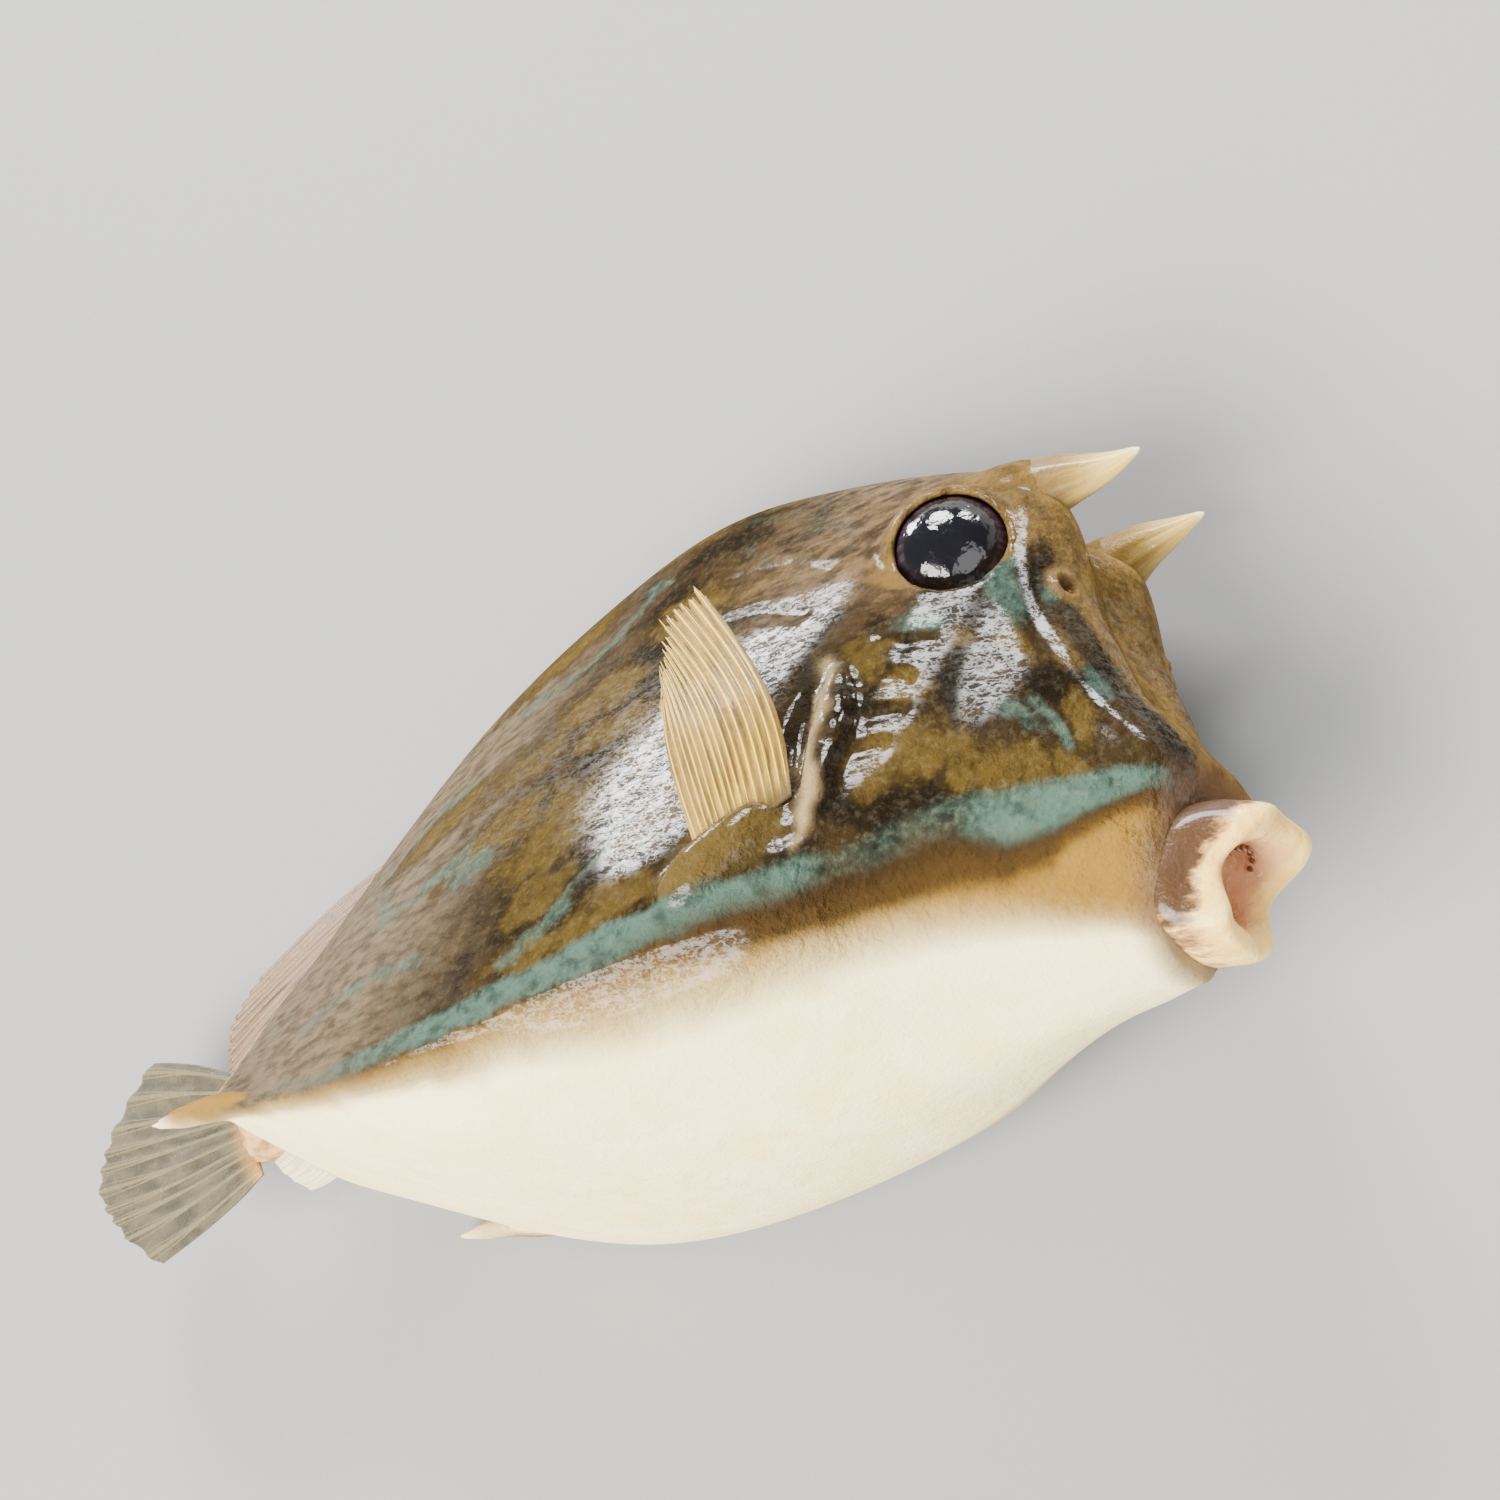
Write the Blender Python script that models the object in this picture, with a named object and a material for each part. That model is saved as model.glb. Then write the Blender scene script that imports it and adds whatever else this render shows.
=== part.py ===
"""Scrawled cowfish, life size, caught and laid down on its left flank.

The fish is modelled upright in its own frame, in millimetres: +X towards the mouth, +Y to its
left, +Z up, with the origin at the front of the mouth. An empty then lays it on its side.
"""

import math
from collections import namedtuple

import bmesh
import bpy
import numpy as np
from mathutils import Euler, Vector

MM = 0.001
GAP = 0.3                       # space that neighbouring pieces keep
REST_ROLL_DEG = -107.4          # turn about the fish's length, from upright onto the left flank
REST_PITCH_DEG = -4.4           # tilt that brings the three resting points to one level
FLAT_DEPTH = 0.35               # depth of the small flats that it rests on

# One row for each station of the body, from the lips to the rear rim of the carapace. top and
# keel lie on the middle plane (x, z); edge and ridge are (x, y, z) on the left side. bulge and
# belly are how far the flank and the belly swell, and crisp is how sharp the ridge is, 0 to 1.
Station = namedtuple("Station", "name top edge ridge keel bulge belly crisp")
STATIONS = (
    Station("lip root", (-7.2, 8.2), (-7.4, 3.6, 7.6), (-11.0, 5.4, -7.4), (-11.3, -9.6), 3.6, 1.0, 0),
    Station("snout", (-7.4, 12.4), (-7.4, 5.9, 11.6), (-14.0, 7.6, -6.6), (-14.5, -10.2), 4.8, 1.2, 0),
    Station("face", (-12.9, 18.4), (-12.5, 6.0, 18.8), (-17.8, 10.6, -5.4), (-18.2, -11.0), 6.0, 1.6, 0),
    Station("cheek", (-16.9, 25.6), (-15.9, 6.2, 26.0), (-22.0, 13.2, -4.4), (-22.6, -12.0), 6.6, 1.9, 0),
    Station("nostril", (-20.0, 32.6), (-18.7, 6.4, 33.0), (-26.8, 16.0, -4.0), (-27.5, -13.2), 6.8, 2.2, 0),
    Station("horns", (-22.6, 42.0), (-20.9, 6.9, 43.6), (-31.4, 18.6, -4.2), (-32.2, -14.5), 6.2, 2.5, 0),
    Station("brow", (-27.6, 47.6), (-25.0, 9.2, 49.6), (-35.6, 21.0, -4.8), (-37.4, -15.9), 5.5, 2.8, 0),
    Station("eye", (-34.6, 52.4), (-32.0, 10.8, 52.4), (-40.4, 23.8, -5.8), (-43.4, -17.7), 4.6, 3.1, 0.1),
    Station("gill", (-44.5, 58.4), (-42.5, 9.8, 56.4), (-46.6, 26.8, -7.4), (-51.4, -19.8), 4.2, 3.4, 0.25),
    Station("fin", (-57.5, 63.4), (-56.0, 8.2, 60.6), (-60.0, 30.2, -10.4), (-64.0, -22.2), 3.4, 3.6, 0.6),
    Station("peak", (-74.0, 66.2), (-74.0, 6.8, 63.4), (-77.5, 32.0, -14.2), (-80.0, -23.8), 2.7, 3.6, 1),
    Station("widest", (-93.0, 61.0), (-93.0, 6.2, 58.2), (-96.5, 32.8, -17.6), (-98.0, -23.3), 2.2, 2.6, 1),
    Station("loin", (-114.0, 50.0), (-114.0, 5.6, 47.4), (-112.0, 31.2, -18.0), (-115.0, -21.2), 1.4, 1.4, 1),
    Station("rear", (-131.0, 36.2), (-131.0, 4.9, 33.6), (-123.6, 29.0, -16.6), (-128.0, -18.2), 0.8, 0.8, 1),
    Station("rim", (-143.0, 25.0), (-143.0, 4.0, 22.8), (-131.5, 27.9, -15.2), (-138.0, -15.7), 0.3, 0.3, 1),
)
FLANK_SWELL = ((0.14, 0.85), (0.43, 1.0), (0.74, 0.72))   # where the flank swells, and its share
BELLY_SWELL = ((0.28, 1.0), (0.64, 0.8))
RIDGE_CONTROL = 5               # the ridge's place among the nine points of a half section
RIDGE_V = 0.62                  # share of the way round, top to keel, at which the ridge lies
HEAD_END, TORSO_START = 0.4485, 0.4515
HEAD_RINGS, TORSO_RINGS = 30, 24
FLANK_STEPS, BELLY_STEPS = 17, 9

EYE_CENTRE, EYE_AXIS = (-33.0, 12.2, 39.2), (0.45, 0.86, -0.20)
EYE_RADIUS, LID_RADIUS, LID_OPENING = 7.7, 8.9, 6.4
LID_REACH = (2.3, 7.0, 12.3)    # where the opening's cutter runs, out from the middle of the eye
NOSTRIL_AT, NOSTRIL_RADIUS = (0.220, 0.140), 1.4
NOSTRIL_RIM, NOSTRIL_SUNK, NOSTRIL_RAISED = 0.8, 1.1, 0.55
GILL_LINE = ((0.431, 0.375), (0.424, 0.43), (0.412, 0.49), (0.400, 0.545))
GILL_FLAP_RADII = (0.5, 0.95, 1.15, 1.2, 1.15, 0.95, 0.5)
GILL_SLOT_RADII = (0.35, 0.8, 1.0, 1.0, 0.9, 0.7, 0.35)
GILL_FLAP_AHEAD, GILL_SLOT_BEHIND = 0.5, 1.3

MOUTH_CENTRE, MOUTH_TILT_DEG = (-5.2, 0.0, -1.4), 17.0
THROAT_REACH, THROAT_RADII, THROAT_FLATTEN = (3.0, -2.0, -6.5, -9.0), (4.2, 3.9, 3.4, 1.8), 0.66
LIP_ANGLES = (-90, -60, -30, 0, 30, 60, 90)               # round the mouth; 0 is the corner
LIP_GUIDES = (                  # back, bulge, shoulder, crest, inner edge and wall: side, up, ahead
    ((0, -7.2, -6.0), (4.6, -6.2, -6.8), (7.0, -3.4, -7.4), (7.6, 0.2, -7.6),
     (6.8, 3.6, -7.0), (4.0, 6.0, -6.2), (0, 6.8, -5.6)),
    ((0, -8.1, -3.0), (5.2, -7.1, -3.9), (7.6, -4.2, -4.3), (8.1, 0.2, -4.4),
     (7.4, 4.1, -3.6), (4.6, 6.9, -2.8), (0, 7.8, -2.2)),
    ((0, -7.8, 0.1), (4.3, -6.9, -0.6), (6.3, -4.2, -1.4), (6.7, 0.3, -1.9),
     (6.6, 4.2, -0.2), (4.6, 7.0, 0.6), (0, 7.8, 0.6)),
    ((0, -6.4, 2.1), (3.5, -5.8, 2.2), (4.9, -3.4, 1.5), (5.3, 0.5, 0.3),
     (5.2, 4.1, 2.7), (3.7, 6.5, 3.5), (0, 7.0, 2.9)),
    ((0, -4.5, 1.2), (1.9, -4.1, 1.0), (3.1, -2.6, 0.4), (3.7, 0.5, -0.6),
     (3.7, 2.9, 0.9), (2.3, 4.3, 1.9), (0, 4.7, 1.8)),
    ((0, -4.2, -1.4), (1.6, -3.8, -1.5), (2.7, -2.2, -1.8), (3.1, 0.3, -2.2),
     (3.0, 2.3, -1.6), (1.9, 3.8, -0.9), (0, 4.3, -0.8)),
    ((0, -4.4, -5.2), (1.8, -4.0, -5.2), (3.0, -2.3, -5.2), (3.3, 0.3, -5.2),
     (3.2, 2.4, -5.2), (2.1, 4.0, -5.2), (0, 4.5, -5.2)),
)
LIP_KNOTS = (0, 0.16, 0.34, 0.52, 0.66, 0.80, 1.0)        # where the guides lie over a lip
LIP_CORNER_DEG = 2.5            # the lips stop this far short of the corners of the mouth
LIP_SECTIONS, LIP_SIDES = 19, 13

HORN_PATH = ((-28.5, 9.4, 46.5), (-24.5, 8.6, 48.2), (-21.0, 7.9, 48.9), (-17.2, 7.4, 49.3),
             (-12.8, 7.2, 50.3))
HORN_AT, HORN_RADII, HORN_FLATTEN = (0, 0.25, 0.5, 0.75, 1), (4.0, 3.6, 2.6, 1.5, 0.4), 1.15
HORN_RINGS = 9

SPINE_PATH = ((-118, 28.8, -16.8), (-126, 27.6, -15.6), (-133, 26.8, -15.2), (-140, 26.6, -15.6),
              (-145.8, 26.7, -16.2))
SPINE_AT, SPINE_RADII, SPINE_FLATTEN = (0, 0.4, 0.7, 1), (1.6, 2.6, 2.0, 0.35), 0.6
SPINE_RINGS = 8
FIN_PAD = ((0.438, 0.512, -0.6), (0.458, 0.535, 0.4), (0.482, 0.553, 0.5), (0.505, 0.570, 0.1),
           (0.522, 0.580, -1.2))
FIN_PAD_RADII, FIN_PAD_FLATTEN = (1.4, 2.6, 3.1, 3.2, 3.0, 2.4, 1.2), 0.6

Oval = namedtuple("Oval", "centre half_wide half_tall lean_deg")
STALK = (
    Oval((-133.0, 0, 2.5), 10.5, 15.0, 14),
    Oval((-140.0, 0, 2.2), 9.0, 15.5, 18),
    Oval((-146.0, 0, 1.8), 7.6, 13.8, 22),
    Oval((-151.5, 0, 0.2), 6.2, 11.4, 26),
    Oval((-156.0, 0.1, -1.8), 5.0, 9.2, 28),
    Oval((-159.5, 0.2, -3.6), 4.0, 7.8, 30),
    Oval((-162.5, 0.3, -4.9), 2.9, 7.0, 30),
)

FIN_SKIN, RAY_RISE = 0.55, 0.32  # thickness of a fin's membrane, and how far each ray stands out
ROOT_THICKER, TIP_THINNER, RAY_TAPER = 1.5, 0.6, 0.5
FRAY_OUT, FRAY_IN = (0.4, 1.0), (0.2, 0.6)
FinShape = namedtuple("FinShape", "base middle tips rays steps fray rise")
RAISED_FIN = FinShape(
    base=((-42.6, -25.4, 6.4), (-46.5, -27.2, 2.8), (-51.4, -28.2, -0.8)),
    middle=((-43.5, -29.8, 17.0), (-49.6, -30.8, 15.9), (-55.5, -31.2, 11.6)),
    tips=((-54.8, -30.6, 33.5), (-57.8, -31.2, 30.2), (-57.0, -31.8, 20.1)),
    rays=11, steps=8, fray=0.8, rise=RAY_RISE,
)
FOLDED_FIN_PLACES = (            # base, middle and tips as u, v and lift on the left flank
    ((0.470, 0.520, 0.3), (0.487, 0.540, 0.6), (0.505, 0.555, 0.3)),
    ((0.460, 0.440, 0.95), (0.480, 0.450, 0.95), (0.500, 0.462, 0.95)),
    ((0.456, 0.368, 0.90), (0.470, 0.358, 0.90), (0.488, 0.372, 0.90)),
)
FOLDED_RAYS, FOLDED_STEPS, FOLDED_FRAY, FOLDED_RISE = 11, 8, 0.5, 0.12
TAIL_FIN = FinShape(
    base=((-165.0, 0.2, 2.6), (-162.4, 0.3, -4.8), (-157.0, 0.2, -12.6)),
    middle=((-181.0, 1.0, 7.6), (-183.0, 1.8, -5.4), (-168.8, 2.0, -17.6)),
    tips=((-196.0, 2.2, 10.6), (-205.6, 3.6, -5.2), (-184.6, 5.0, -21.7)),
    rays=10, steps=9, fray=0.5, rise=RAY_RISE,
)
DORSAL_FIN = FinShape(
    base=((-128.0, 0, 37.0), (-134.0, 0, 31.5), (-140.5, 0, 25.5)),
    middle=((-147.0, -1.2, 29.6), (-149.0, -1.2, 25.4), (-150.0, -0.8, 18.5)),
    tips=((-163.6, -2.2, 19.0), (-168.4, -2.4, 10.6), (-167.0, -2.2, 2.8)),
    rays=9, steps=8, fray=0.5, rise=RAY_RISE,
)
ANAL_FIN = FinShape(
    base=((-137.5, 0, -13.6), (-144.0, 0, -11.5), (-151.0, 0, -8.0)),
    middle=((-141.0, 0.2, -15.4), (-147.0, 0.2, -13.4), (-152.6, 0.2, -9.8)),
    tips=((-145.0, 0.3, -16.2), (-150.6, 0.3, -13.8), (-155.0, 0.3, -11.0)),
    rays=8, steps=6, fray=0.3, rise=RAY_RISE,
)

Look = namedtuple("Look", "colour roughness")
SKIN = Look((0.23, 0.17, 0.08), 0.25)
LIP = Look((0.86, 0.72, 0.60), 0.35)
HORN = Look((0.72, 0.62, 0.38), 0.35)
EYE = Look((0.02, 0.02, 0.03), 0.05)
TAN_WEB = Look((0.55, 0.42, 0.20), 0.35)
CREAM_WEB = Look((0.82, 0.74, 0.52), 0.35)

collection = bpy.data.collections.new("scrawled_cowfish")
cutters = bpy.data.collections.new("cutters")


def clear_scene():
    for obj in list(bpy.data.objects):
        bpy.data.objects.remove(obj, do_unlink=True)
    bpy.context.scene.collection.children.link(collection)
    bpy.context.scene.collection.children.link(cutters)
    cutters.hide_render = True


# Curves and surfaces

def spline(knots, values, where, start=None, end=None):
    """A smooth curve through the values at the knots; start and end are slopes, or free."""
    knots = np.asarray(knots, float)
    values = np.asarray(values, float)
    count = len(knots)
    width = np.diff(knots)
    column = (-1,) + (1,) * (values.ndim - 1)
    rise = np.diff(values, axis=0) / width.reshape(column)
    system = np.zeros((count, count))
    right = np.zeros_like(values)
    for i in range(1, count - 1):
        system[i, i - 1 : i + 2] = width[i], 2 * (width[i - 1] + width[i]), width[i - 1]
        right[i] = 3 * (width[i] * rise[i - 1] + width[i - 1] * rise[i])
    system[0, :2] = (2, 1) if start is None else (1, 0)
    right[0] = 3 * rise[0] if start is None else start
    system[-1, -2:] = (1, 2) if end is None else (0, 1)
    right[-1] = 3 * rise[-1] if end is None else end
    slope = np.linalg.solve(system, right.reshape(count, -1)).reshape(right.shape)
    where = np.asarray(where, float)
    i = np.clip(np.searchsorted(knots, where, side="right") - 1, 0, count - 2)
    t = ((where - knots[i]) / width[i]).reshape(column)
    step = width[i].reshape(column)
    return (
        (2 * t**3 - 3 * t**2 + 1) * values[i]
        + (t**3 - 2 * t**2 + t) * step * slope[i]
        + (3 * t**2 - 2 * t**3) * values[i + 1]
        + (t**3 - t**2) * step * slope[i + 1]
    )


def along(points, share):
    """Points at these shares of the way along a smooth curve through a few points."""
    points = np.asarray(points, float)
    reach = np.concatenate([[0], np.cumsum(np.linalg.norm(np.diff(points, axis=0), axis=1))])
    return spline(reach / reach[-1], points, np.atleast_1d(share))


def unit(vector):
    vector = np.asarray(vector, float)
    return vector / np.linalg.norm(vector)


def mirrored(point, side):
    """A point or a list of them on the left side, 1, or the right side, -1."""
    return np.asarray(point, float) * np.array([1, side, 1])


def station_controls(row):
    """The nine points that a station's half section runs through, from the top to the keel."""
    top = np.array([row.top[0], 0, row.top[1]])
    edge = np.array(row.edge, float)
    ridge = np.array(row.ridge, float)
    keel = np.array([row.keel[0], 0, row.keel[1]])
    outward = unit([0, edge[2] - ridge[2], ridge[1] - edge[1]])
    flank = [edge + at * (ridge - edge) + outward * row.bulge * share for at, share in FLANK_SWELL]
    belly = [ridge + at * (keel - ridge) - (0, 0, row.belly * share) for at, share in BELLY_SWELL]
    return np.array([top, edge, *flank, ridge, *belly, keel])


CONTROLS = np.array([station_controls(row) for row in STATIONS])
CRISP = np.array([row.crisp for row in STATIONS], float)
SPACING = np.sqrt(np.linalg.norm(np.diff(CONTROLS, axis=0), axis=2).mean(axis=1))
STATION_U = np.concatenate([[0], np.cumsum(SPACING)]) / SPACING.sum()


def half_section(controls, crisp, v):
    """Half a section, v from 0 at the top to 1 at the keel, with the ridge as crisp as asked."""
    reach = np.concatenate([[0], np.cumsum(np.linalg.norm(np.diff(controls, axis=0), axis=1))])
    ridge = reach[RIDGE_CONTROL]
    below = (v - RIDGE_V) / (1 - RIDGE_V) * (reach[-1] - ridge)
    where = np.where(v < RIDGE_V, v / RIDGE_V * ridge, ridge + below)
    level_out = np.array([0, 1.0, 0])
    level_in = np.array([0, -1.0, 0])
    split = RIDGE_CONTROL + 1
    smooth = spline(reach, controls, where, level_out, level_in)
    flank = spline(reach[:split], controls[:split], np.minimum(where, ridge), level_out, None)
    below = np.maximum(where, ridge)
    belly = spline(reach[RIDGE_CONTROL:], controls[RIDGE_CONTROL:], below, None, level_in)
    sharp = np.where((v < RIDGE_V)[:, None], flank, belly)
    return (1 - crisp) * smooth + crisp * sharp


def body_surface(us, vs):
    """Points of the body's left side at each u (lips 0, rim 1) and v (top 0, keel 1)."""
    controls = spline(STATION_U, CONTROLS, us)
    crisp = np.interp(us, STATION_U, CRISP)
    return np.stack([half_section(c, k, np.asarray(vs, float)) for c, k in zip(controls, crisp)])


def on_body(u, v, side=1, lift=0.0):
    """A point on the body and the outward normal there; side is 1 for left and -1 for right."""
    step = 0.004
    patch = body_surface([u - step, u, u + step], [v - step, v, v + step])
    normal = unit(np.cross(patch[1, 2] - patch[1, 0], patch[2, 1] - patch[0, 1]))
    if normal[1] < 0:
        normal = -normal
    return mirrored(patch[1, 1] + lift * normal, side), mirrored(normal, side)


def body_line(places, side, count, lift=0.0):
    """A smooth line over the body through a few (u, v) places."""
    return along([on_body(u, v, side, lift)[0] for u, v in places], np.linspace(0, 1, count))


# Meshes

def placed(name, mesh, look):
    """An object in the fish's collection with its own finish, or a hidden cutter without one."""
    obj = bpy.data.objects.new(name, mesh)
    if look is None:
        cutters.objects.link(obj)
        obj.hide_render = True
        obj.display_type = "WIRE"
        return obj
    collection.objects.link(obj)
    finish = bpy.data.materials.new(name + "_finish")
    finish.use_nodes = True
    shader = finish.node_tree.nodes["Principled BSDF"]
    shader.inputs["Base Color"].default_value = (*look.colour, 1.0)
    shader.inputs["Roughness"].default_value = look.roughness
    mesh.materials.append(finish)
    return obj


def mesh_object(name, vertices, faces, look=None):
    mesh = bpy.data.meshes.new(name)
    mesh.from_pydata([Vector(p) * MM for p in vertices], [], faces)
    shape = bmesh.new()
    shape.from_mesh(mesh)
    bmesh.ops.recalc_face_normals(shape, faces=shape.faces)
    shape.to_mesh(mesh)
    shape.free()
    return placed(name, mesh, look)


def loft(name, rings, look=None):
    """A closed skin over rings of equal count, each end closed by a fan to its middle."""
    count = len(rings[0])
    vertices = [p for ring in rings for p in ring]
    faces = []
    for i in range(len(rings) - 1):
        for j in range(count):
            a = i * count + j
            b = i * count + (j + 1) % count
            faces.append((a, b, b + count, a + count))
    for start, ring in ((0, rings[0]), ((len(rings) - 1) * count, rings[-1])):
        middle = len(vertices)
        vertices.append(np.mean(ring, axis=0))
        faces += [(start + j, start + (j + 1) % count, middle) for j in range(count)]
    return mesh_object(name, vertices, faces, look)


def body_rings(first, last, count):
    flank = np.linspace(0, RIDGE_V, FLANK_STEPS + 1)
    belly = np.linspace(RIDGE_V, 1, BELLY_STEPS + 1)
    half = body_surface(np.linspace(first, last, count), np.concatenate([flank, belly[1:]]))
    other = mirrored(half[:, -2:0:-1], -1)
    return list(np.concatenate([half, other], axis=1))


def tube(name, path, radii, sides=10, flatten=1.0, across=(0, 1, 0), look=None):
    """A tapering round or flattened rod along a smooth path; across is its wide direction."""
    path = np.asarray(path, float)
    turns = (np.arange(sides) * 2 * math.pi / sides)[:, None]
    rings = []
    for i, centre in enumerate(path):
        ahead = unit(path[min(i + 1, len(path) - 1)] - path[max(i - 1, 0)])
        wide = unit(np.array(across) - np.dot(across, ahead) * ahead)
        deep = flatten * np.cross(ahead, wide)
        rings.append(centre + radii[i] * (np.cos(turns) * wide + np.sin(turns) * deep))
    return loft(name, rings, look)


def ball(name, centre, radius, segments, rings, look=None):
    mesh = bpy.data.meshes.new(name)
    shape = bmesh.new()
    bmesh.ops.create_uvsphere(shape, u_segments=segments, v_segments=rings, radius=radius * MM)
    bmesh.ops.translate(shape, vec=Vector(centre) * MM, verts=shape.verts)
    shape.to_mesh(mesh)
    shape.free()
    return placed(name, mesh, look)


def closed_bodies(shape):
    """The vertices of a mesh, grouped by what hangs together, the largest group last."""
    loose = set(shape.verts)
    bodies = []
    while loose:
        reached = set()
        frontier = [loose.pop()]
        while frontier:
            vertex = frontier.pop()
            reached.add(vertex)
            near = {edge.other_vert(vertex) for edge in vertex.link_edges} & loose
            loose -= near
            frontier += near
        bodies.append(reached)
    return sorted(bodies, key=len)


def applied(obj):
    """Bakes the object's modifiers and keeps only its largest closed surface."""
    graph = bpy.context.evaluated_depsgraph_get()
    mesh = bpy.data.meshes.new_from_object(obj.evaluated_get(graph))
    obj.modifiers.clear()
    obj.data = mesh
    shape = bmesh.new()
    shape.from_mesh(mesh)
    bmesh.ops.triangulate(shape, faces=shape.faces)
    for crumb in closed_bodies(shape)[:-1]:
        bmesh.ops.delete(shape, geom=list(crumb), context="VERTS")
    shape.to_mesh(mesh)
    shape.free()
    return obj


def combine(obj, others, operation, solver="EXACT"):
    """Joins the others to the object, or cuts them from it, then removes them."""
    group = bpy.data.collections.new("pieces")
    bpy.context.scene.collection.children.link(group)
    for other in others:
        group.objects.link(other)
    change = obj.modifiers.new(operation.lower(), "BOOLEAN")
    change.operation = operation
    change.solver = solver
    change.operand_type = "COLLECTION"
    change.collection = group
    applied(obj)
    for other in others:
        bpy.data.objects.remove(other, do_unlink=True)
    bpy.data.collections.remove(group)
    return obj


def swollen(obj, by=GAP):
    """A cutter: a copy of the object grown outwards, so that what it cuts keeps the gap."""
    copy = placed(obj.name + "_swollen", obj.data.copy(), None)
    shape = bmesh.new()
    shape.from_mesh(copy.data)
    bmesh.ops.recalc_face_normals(shape, faces=shape.faces)
    shape.normal_update()
    moves = [vertex.normal * by * MM for vertex in shape.verts]
    for vertex, move in zip(shape.verts, moves):
        vertex.co += move
    shape.to_mesh(copy.data)
    shape.free()
    return copy


def seat(obj, *roots):
    """Cuts the root of a piece so that it meets each of its neighbours face to face."""
    return combine(obj, [swollen(root) for root in roots], "DIFFERENCE", "MANIFOLD")


# Head

def mouth_frame():
    """The middle of the mouth, and its directions ahead and up."""
    tilt = math.radians(MOUTH_TILT_DEG)
    ahead = np.array([math.cos(tilt), 0, -math.sin(tilt)])
    up = np.array([math.sin(tilt), 0, math.cos(tilt)])
    return np.array(MOUTH_CENTRE), ahead, up


def make_head():
    head = loft("head", body_rings(0, HEAD_END, HEAD_RINGS), SKIN)
    added = []
    cut = []
    for side in (-1, 1):
        centre = mirrored(EYE_CENTRE, side)
        axis = unit(mirrored(EYE_AXIS, side))
        added.append(ball("lids", centre, LID_RADIUS, 20, 12))
        cut.append(ball("socket", centre, EYE_RADIUS + GAP, 20, 12))
        reach = centre + np.outer(LID_REACH, axis)
        cut.append(tube("lid_opening", reach, (LID_OPENING,) * 3, 28, across=(0, 0, 1)))

        point, normal = on_body(*NOSTRIL_AT, side)
        rim = point - NOSTRIL_SUNK * normal
        added.append(ball("nostril_rim", rim, NOSTRIL_RADIUS + NOSTRIL_RIM, 14, 8))
        cut.append(ball("nostril_pit", point + NOSTRIL_RAISED * normal, NOSTRIL_RADIUS, 12, 8))

        line = body_line(GILL_LINE, side, len(GILL_FLAP_RADII))
        flap = line + (GILL_FLAP_AHEAD, side * 0.2, 0)
        added.append(tube("gill_flap", flap, GILL_FLAP_RADII, 8))
        slot = line + (-GILL_SLOT_BEHIND, side * 0.4, 0)
        cut.append(tube("gill_slot", slot, GILL_SLOT_RADII, 8))
    centre, ahead, up = mouth_frame()
    throat = centre + np.outer(THROAT_REACH, ahead)
    cut.append(tube("throat", throat, THROAT_RADII, 20, THROAT_FLATTEN, across=up))
    combine(head, added, "UNION")
    return combine(head, cut, "DIFFERENCE")


def lip_sections(angles_deg, side):
    """Sections across a lip at these angles round the mouth, on one side of the fish."""
    lines = []
    for guide in np.array(LIP_GUIDES, float):
        start = np.array([guide[1, 0] / 28, 0, 0])
        end = np.array([-guide[-2, 0] / 28, 0, 0])
        lines.append(spline(LIP_ANGLES, guide, angles_deg, start, end))
    over = spline(LIP_KNOTS, np.array(lines), np.linspace(0, 1, LIP_SIDES))
    centre, ahead, up = mouth_frame()
    rings = centre + over[:, :, :1] * (0, side, 0) + over[:, :, 1:2] * up + over[:, :, 2:] * ahead
    return list(rings.transpose(1, 0, 2))


def make_lip(name, sense, head):
    """The upper lip, sense 1, or the lower one, -1, from the left corner over to the right one."""
    steps = LIP_SECTIONS // 2 + 1
    angles = sense * np.linspace(LIP_CORNER_DEG, 90, steps)
    rings = lip_sections(angles, 1) + lip_sections(angles, -1)[-2::-1]
    return seat(loft(name, rings, LIP), head)


def make_horn(name, side, head):
    share = np.linspace(0, 1, HORN_RINGS)
    centres = along(mirrored(HORN_PATH, side), share)
    radii = np.interp(share, HORN_AT, HORN_RADII)
    return seat(tube(name, centres, radii, 14, HORN_FLATTEN, look=HORN), head)


def make_eye(name, side):
    return ball(name, mirrored(EYE_CENTRE, side), EYE_RADIUS, 22, 12, EYE)


# Trunk and tail

def make_torso(head):
    """The rear two thirds of the carapace, with its two spines and the pads that carry the fins."""
    torso = loft("torso", body_rings(TORSO_START, 1, TORSO_RINGS), SKIN)
    share = np.linspace(0, 1, SPINE_RINGS)
    added = []
    for side in (-1, 1):
        centres = along(mirrored(SPINE_PATH, side), share)
        radii = np.interp(share, SPINE_AT, SPINE_RADII)
        added.append(tube("rear_spine", centres, radii, 8, SPINE_FLATTEN))
        places = [on_body(u, v, side, lift)[0] for u, v, lift in FIN_PAD]
        centres = along(places, np.linspace(0, 1, len(FIN_PAD_RADII)))
        pad = tube("fin_pad", centres, FIN_PAD_RADII, 12, FIN_PAD_FLATTEN, across=(0, 0, 1))
        added.append(seat(pad, head))
    return combine(torso, added, "UNION")


def oval_ring(oval, count=24):
    turns = (np.arange(count) * 2 * math.pi / count)[:, None]
    lean = math.radians(oval.lean_deg)
    tall = oval.half_tall * np.array([-math.sin(lean), 0, math.cos(lean)])
    wide = np.array([0, oval.half_wide, 0])
    return np.array(oval.centre) + np.cos(turns) * tall + np.sin(turns) * wide


def make_peduncle(torso):
    return seat(loft("peduncle", [oval_ring(oval) for oval in STALK], SKIN), torso)


# Fins

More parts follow.
